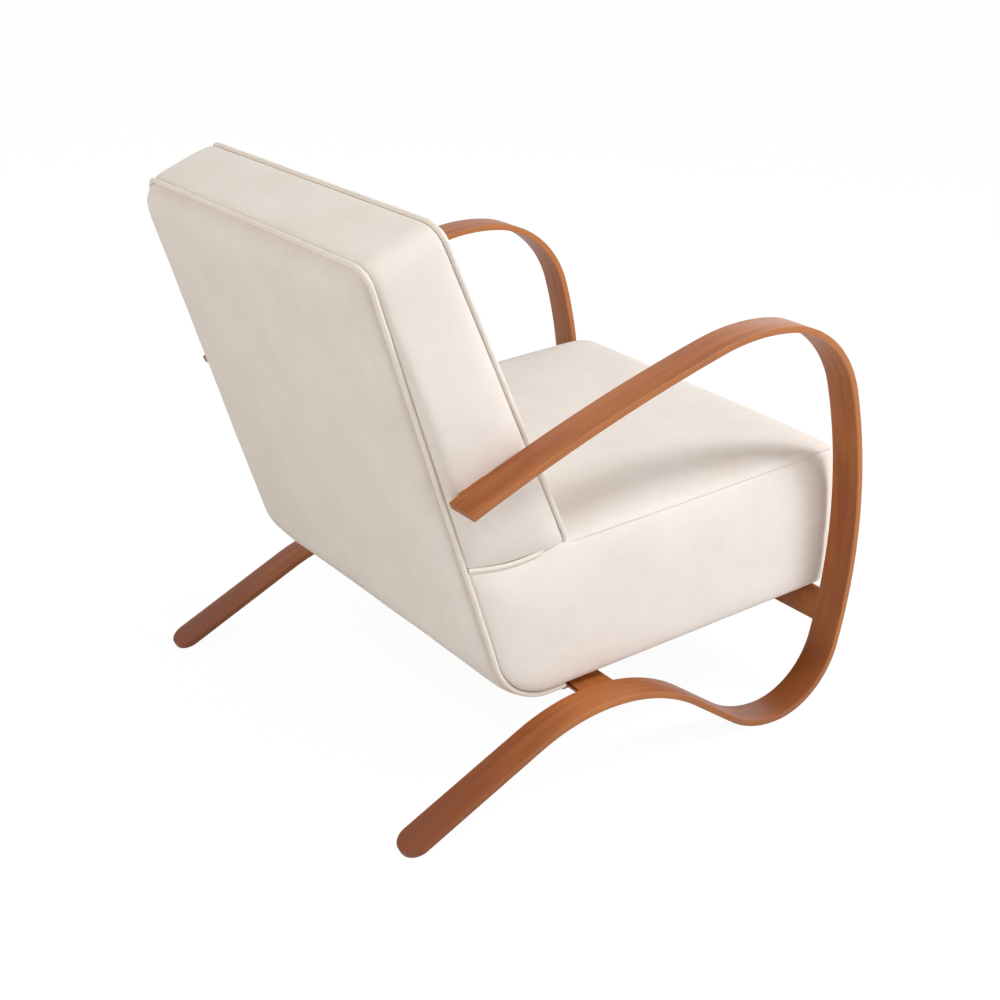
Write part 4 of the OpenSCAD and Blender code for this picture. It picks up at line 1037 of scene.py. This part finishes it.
bend = [Vector((TAIL_R, TAIL_TANGENT)) + TAIL_PIPING_R * heading(180 + TAIL_TURN * (1 - k / BEND_STEPS))
        for k in range(BEND_STEPS + 1)]
bend.insert(0, bend[0] + TAIL_LEN * left_of(180 + TAIL_TURN))
rear_half = ([world(*on_back(*p), -PIPING_X) for p in bend]
             + arch_corner(lambda y, x: world(*on_back(PIPING_IN, y), x), BACK_H))
sunk_foot = on_face(-PIPING_IN - FOOT_SINK, -FACE_LEN - FOOT_DROP)
front_half = ([world(*sunk_foot, FOOT_ASIDE - PIPING_X),
               world(*on_face(-PIPING_IN, EDGE_IN - FACE_LEN), -PIPING_X)]
              + arch_corner(lambda y, x: world(*on_face(-PIPING_IN, y), x), 0))
cord("rear_piping_cord", ["rear_piping"], mirrored(rear_half))
cord("front_piping_cord", ["back_front_piping"], mirrored(front_half))

# %% Cords of the side seams
SEAM_STEPS, SEAM_EARLY, SEAM_ON = 24, 3, 0.04
TUCKED_END = Vector((2.5, 2.0))
seam_start = SEAM_REAR - SEAM_EARLY
seam_stop = mix(SEAM_REAR, SEAM_FRONT, CORD_END + SEAM_ON)
seam = [on_seat(x, SEAT_H - sag_at(x)) for x in
        [mix(seam_start, seam_stop, k / SEAM_STEPS) for k in range(SEAM_STEPS + 1)]]
seam.append(seam[-1] + TUCKED_END)
for side, sign, replaced in (("right", -1, ["side_seam_piping"]), ("left", 1, [])):
    cord(side + "_seam_cord", replaced, [world(*p, sign * PIPING_X) for p in seam])

# %% [markdown]
# ## What the covers hide
# The frame inside is never seen, yet it is part of the chair: softwood boards, woven
# webbing, foam, plated bolts and a black dust cloth below. It could be left grey, but
# each part gets its own finish, so that the chair can be opened up or drawn in section.
# Their shapes stay the frame's own, because nothing of them needs to be softer.

# %% Hidden finishes
def plated_steel():
    paint = Paint("plated_steel")
    scuff = paint.noise(paint.place(), 180.0, 4.0, 0.6)
    base = paint.mix(scuff.ramp(0.3, 0.7), rgb(190, 188, 180), rgb(160, 158, 150))
    return paint.set(Base_Color=base, Metallic=1.0, Roughness=0.28 + scuff * 0.2,
                     Normal=paint.bump(scuff, 0.00005, 0.4))


def foam():
    paint = Paint("foam_and_wadding")
    place = paint.place()
    cells = paint.noise(place, 700.0, 2.0, 0.7)
    clouds = paint.noise(place, 14.0)
    base = paint.mix(clouds.ramp(0.3, 0.7), rgb(236, 222, 184), rgb(222, 203, 158))
    return paint.set(Base_Color=base, Roughness=0.9 + cells * 0.08,
                     Normal=paint.bump(cells, 0.0004, 0.6))


finishes = {
    "stained_wood": BOARD_WOOD,
    "cover_fabric": FABRIC,
    "piping_fabric": PIPING,
    "plated_steel": plated_steel(),
    "padding": foam(),
    "webbing": cloth("woven_jute", (176, 146, 100), (146, 116, 74), JUTE_THREAD),
    "dust_cloth": cloth("black_dust_cloth", (40, 39, 38), (28, 27, 27), DUST_THREAD),
}
plain = {run: wood("plain_frame_wood_" + run, PLAIN, run, coat=0.0, rough=0.55) for run in "xyz"}


def grain_run(name):
    """Axis that a hidden board lies along."""
    if "upright" in name:
        return "z"
    return "y" if name in ("right_seat_rail", "left_seat_rail") else "x"


slots = {part["node"]: part["material_slot"] for part in frame["record"]["subparts"]}
for name, node in nodes.items():
    finish = plain[grain_run(name)] if slots[name] == "frame_wood" else finishes[slots[name]]
    node.data.materials.clear()
    node.data.materials.append(finish)
print("finished", len(nodes), "nodes of the frame")

# %% [markdown]
# ## Camera
# The photograph was taken from behind the sitter's right shoulder and from above, with
# a lens of about 56 mm on a full-frame sensor. Three Euler angles could aim the camera,
# but their order is easy to mistake. So its three axes are written as the columns of its
# matrix, which leaves no doubt about the small roll.

# %% Camera
EYE = Vector((-1.6572, 1.2472, 1.1561))
turn, dip, roll = (math.radians(a) for a in (232.97, 22.89, -2.32))
forward = Vector((-math.sin(turn) * math.cos(dip), math.cos(turn) * math.cos(dip), -math.sin(dip)))
right = Vector((math.cos(turn), math.sin(turn), 0))
down = forward.cross(right)
cam_x = math.cos(roll) * right + math.sin(roll) * down
cam_y = math.sin(roll) * right - math.cos(roll) * down
lens = bpy.data.cameras.new("camera")
lens.lens, lens.sensor_width, lens.clip_start = 55.917, 36.0, 0.05
camera = bpy.data.objects.new("camera", lens)
bpy.context.scene.collection.objects.link(camera)
camera.matrix_world = Matrix.Translation(EYE) @ Matrix((cam_x, cam_y, -forward)).transposed().to_4x4()
bpy.context.scene.camera = camera
print("camera is", round(EYE.length, 2), "m from the middle of the floor")

# %% [markdown]
# ## Light and floor
# The photograph has the even light of a studio. A sun lamp would draw hard shadows, so
# area lamps do the work of soft boxes: a small one above and in front of the near side
# casts the arm's soft shadow on the seat, and three large ones and the room's own light
# fill it. Light Path makes the backdrop white to the camera and in reflections alone, so
# it adds no soft light to the chair.

# %% Lamps and world
def lamp(name, place, aim, size, power, tint=(1, 1, 1)):
    data = bpy.data.lights.new(name, "AREA")
    data.shape, data.size, data.energy, data.color = "DISK", size, power, tint
    item = bpy.data.objects.new(name, data)
    bpy.context.scene.collection.objects.link(item)
    item.location = place
    item.rotation_euler = (Vector(aim) - Vector(place)).to_track_quat("-Z", "Y").to_euler()


lamp("soft_box_key", (-1.45, -1.15, 2.9), (0, 0, 0.3), 0.9, 52, (0.91, 0.94, 1))
lamp("soft_box_side", (-2.4, -1.4, 0.9), (0, 0, 0.35), 2.2, 26, (0.92, 0.95, 1))
lamp("soft_box_rear", (-0.4, 3.2, 1.3), (0, 0, 0.4), 2.6, 32, (1, 0.95, 0.91))
lamp("soft_box_front", (1.6, -3.0, 1.6), (0, 0, 0.4), 2.2, 12)


def seen_rays(nodes, *kinds):
    """1 for a ray of any of the named kinds, else 0."""
    path = nodes.add("ShaderNodeLightPath", {}, {}).out.node
    seen, *others = (Socket(nodes, path.outputs["Is " + kind + " Ray"]) for kind in kinds)
    for other in others:
        seen = seen.larger(other)
    return seen


def blend(nodes, factor, first, second):
    return nodes.add("ShaderNodeMixShader", {}, {0: factor, 1: first, 2: second})


sky = bpy.data.worlds.new("studio")
bpy.context.scene.world = sky
sky.use_nodes = True
air = Nodes(sky.node_tree)
room = air.tree.nodes["Background"]
air.feed(room.inputs["Color"], (1, 0.975, 0.95, 1))
air.feed(room.inputs["Strength"], 0.48)
white = air.add("ShaderNodeBackground", {}, {"Color": (1, 1, 1, 1), "Strength": 1.0})
seen = seen_rays(air, "Camera", "Glossy", "Transmission")
backdrop = blend(air, seen, Socket(air, room.outputs[0]), white)
air.feed(air.tree.nodes["World Output"].inputs["Surface"], backdrop)
print("lit by", len(bpy.data.lights), "soft boxes and the room")

# %% [markdown]
# ## The floor
# The chair stands on white paper that runs out of sight. Plain white paper would come
# out grey in its shade, and a floor that glows would hold no shadow. So the camera and
# reflections see a blend of both: the glow makes it white, and the paper keeps a faint
# shadow. Other rays see the paper alone, so that it lights the chair from below as paper
# does.

# %% Floor
FLOOR_HALF, FLOOR_DROP = 14, 0.0005
PAPER_TONE, PAPER_GLOW, GLOW_SHARE = 0.62, 1.1, 0.86
bm = bmesh.new()
bmesh.ops.create_grid(bm, x_segments=2, y_segments=2, size=FLOOR_HALF)
bmesh.ops.translate(bm, verts=bm.verts[:], vec=(0, 0, -FLOOR_DROP))
mesh = bpy.data.meshes.new("floor")
bm.to_mesh(mesh)
bm.free()
floor = bpy.data.objects.new("floor", mesh)
bpy.context.scene.collection.objects.link(floor)

paper = Paint("white_paper_floor")
paper.set(Base_Color=(PAPER_TONE, PAPER_TONE, PAPER_TONE, 1), Roughness=0.9)
mesh.materials.append(paper.material)
matte = Socket(paper, paper.shader.outputs[0])
glow = paper.add("ShaderNodeEmission", {}, {"Strength": PAPER_GLOW})
shown = blend(paper, GLOW_SHARE, matte, glow)
seen = seen_rays(paper, "Camera", "Glossy")
paper.feed(paper.out.inputs["Surface"], blend(paper, seen, matte, shown))
bpy.context.scene.view_settings.view_transform = "Standard"
print("floor is", 2 * FLOOR_HALF, "m wide")

# %% [markdown]
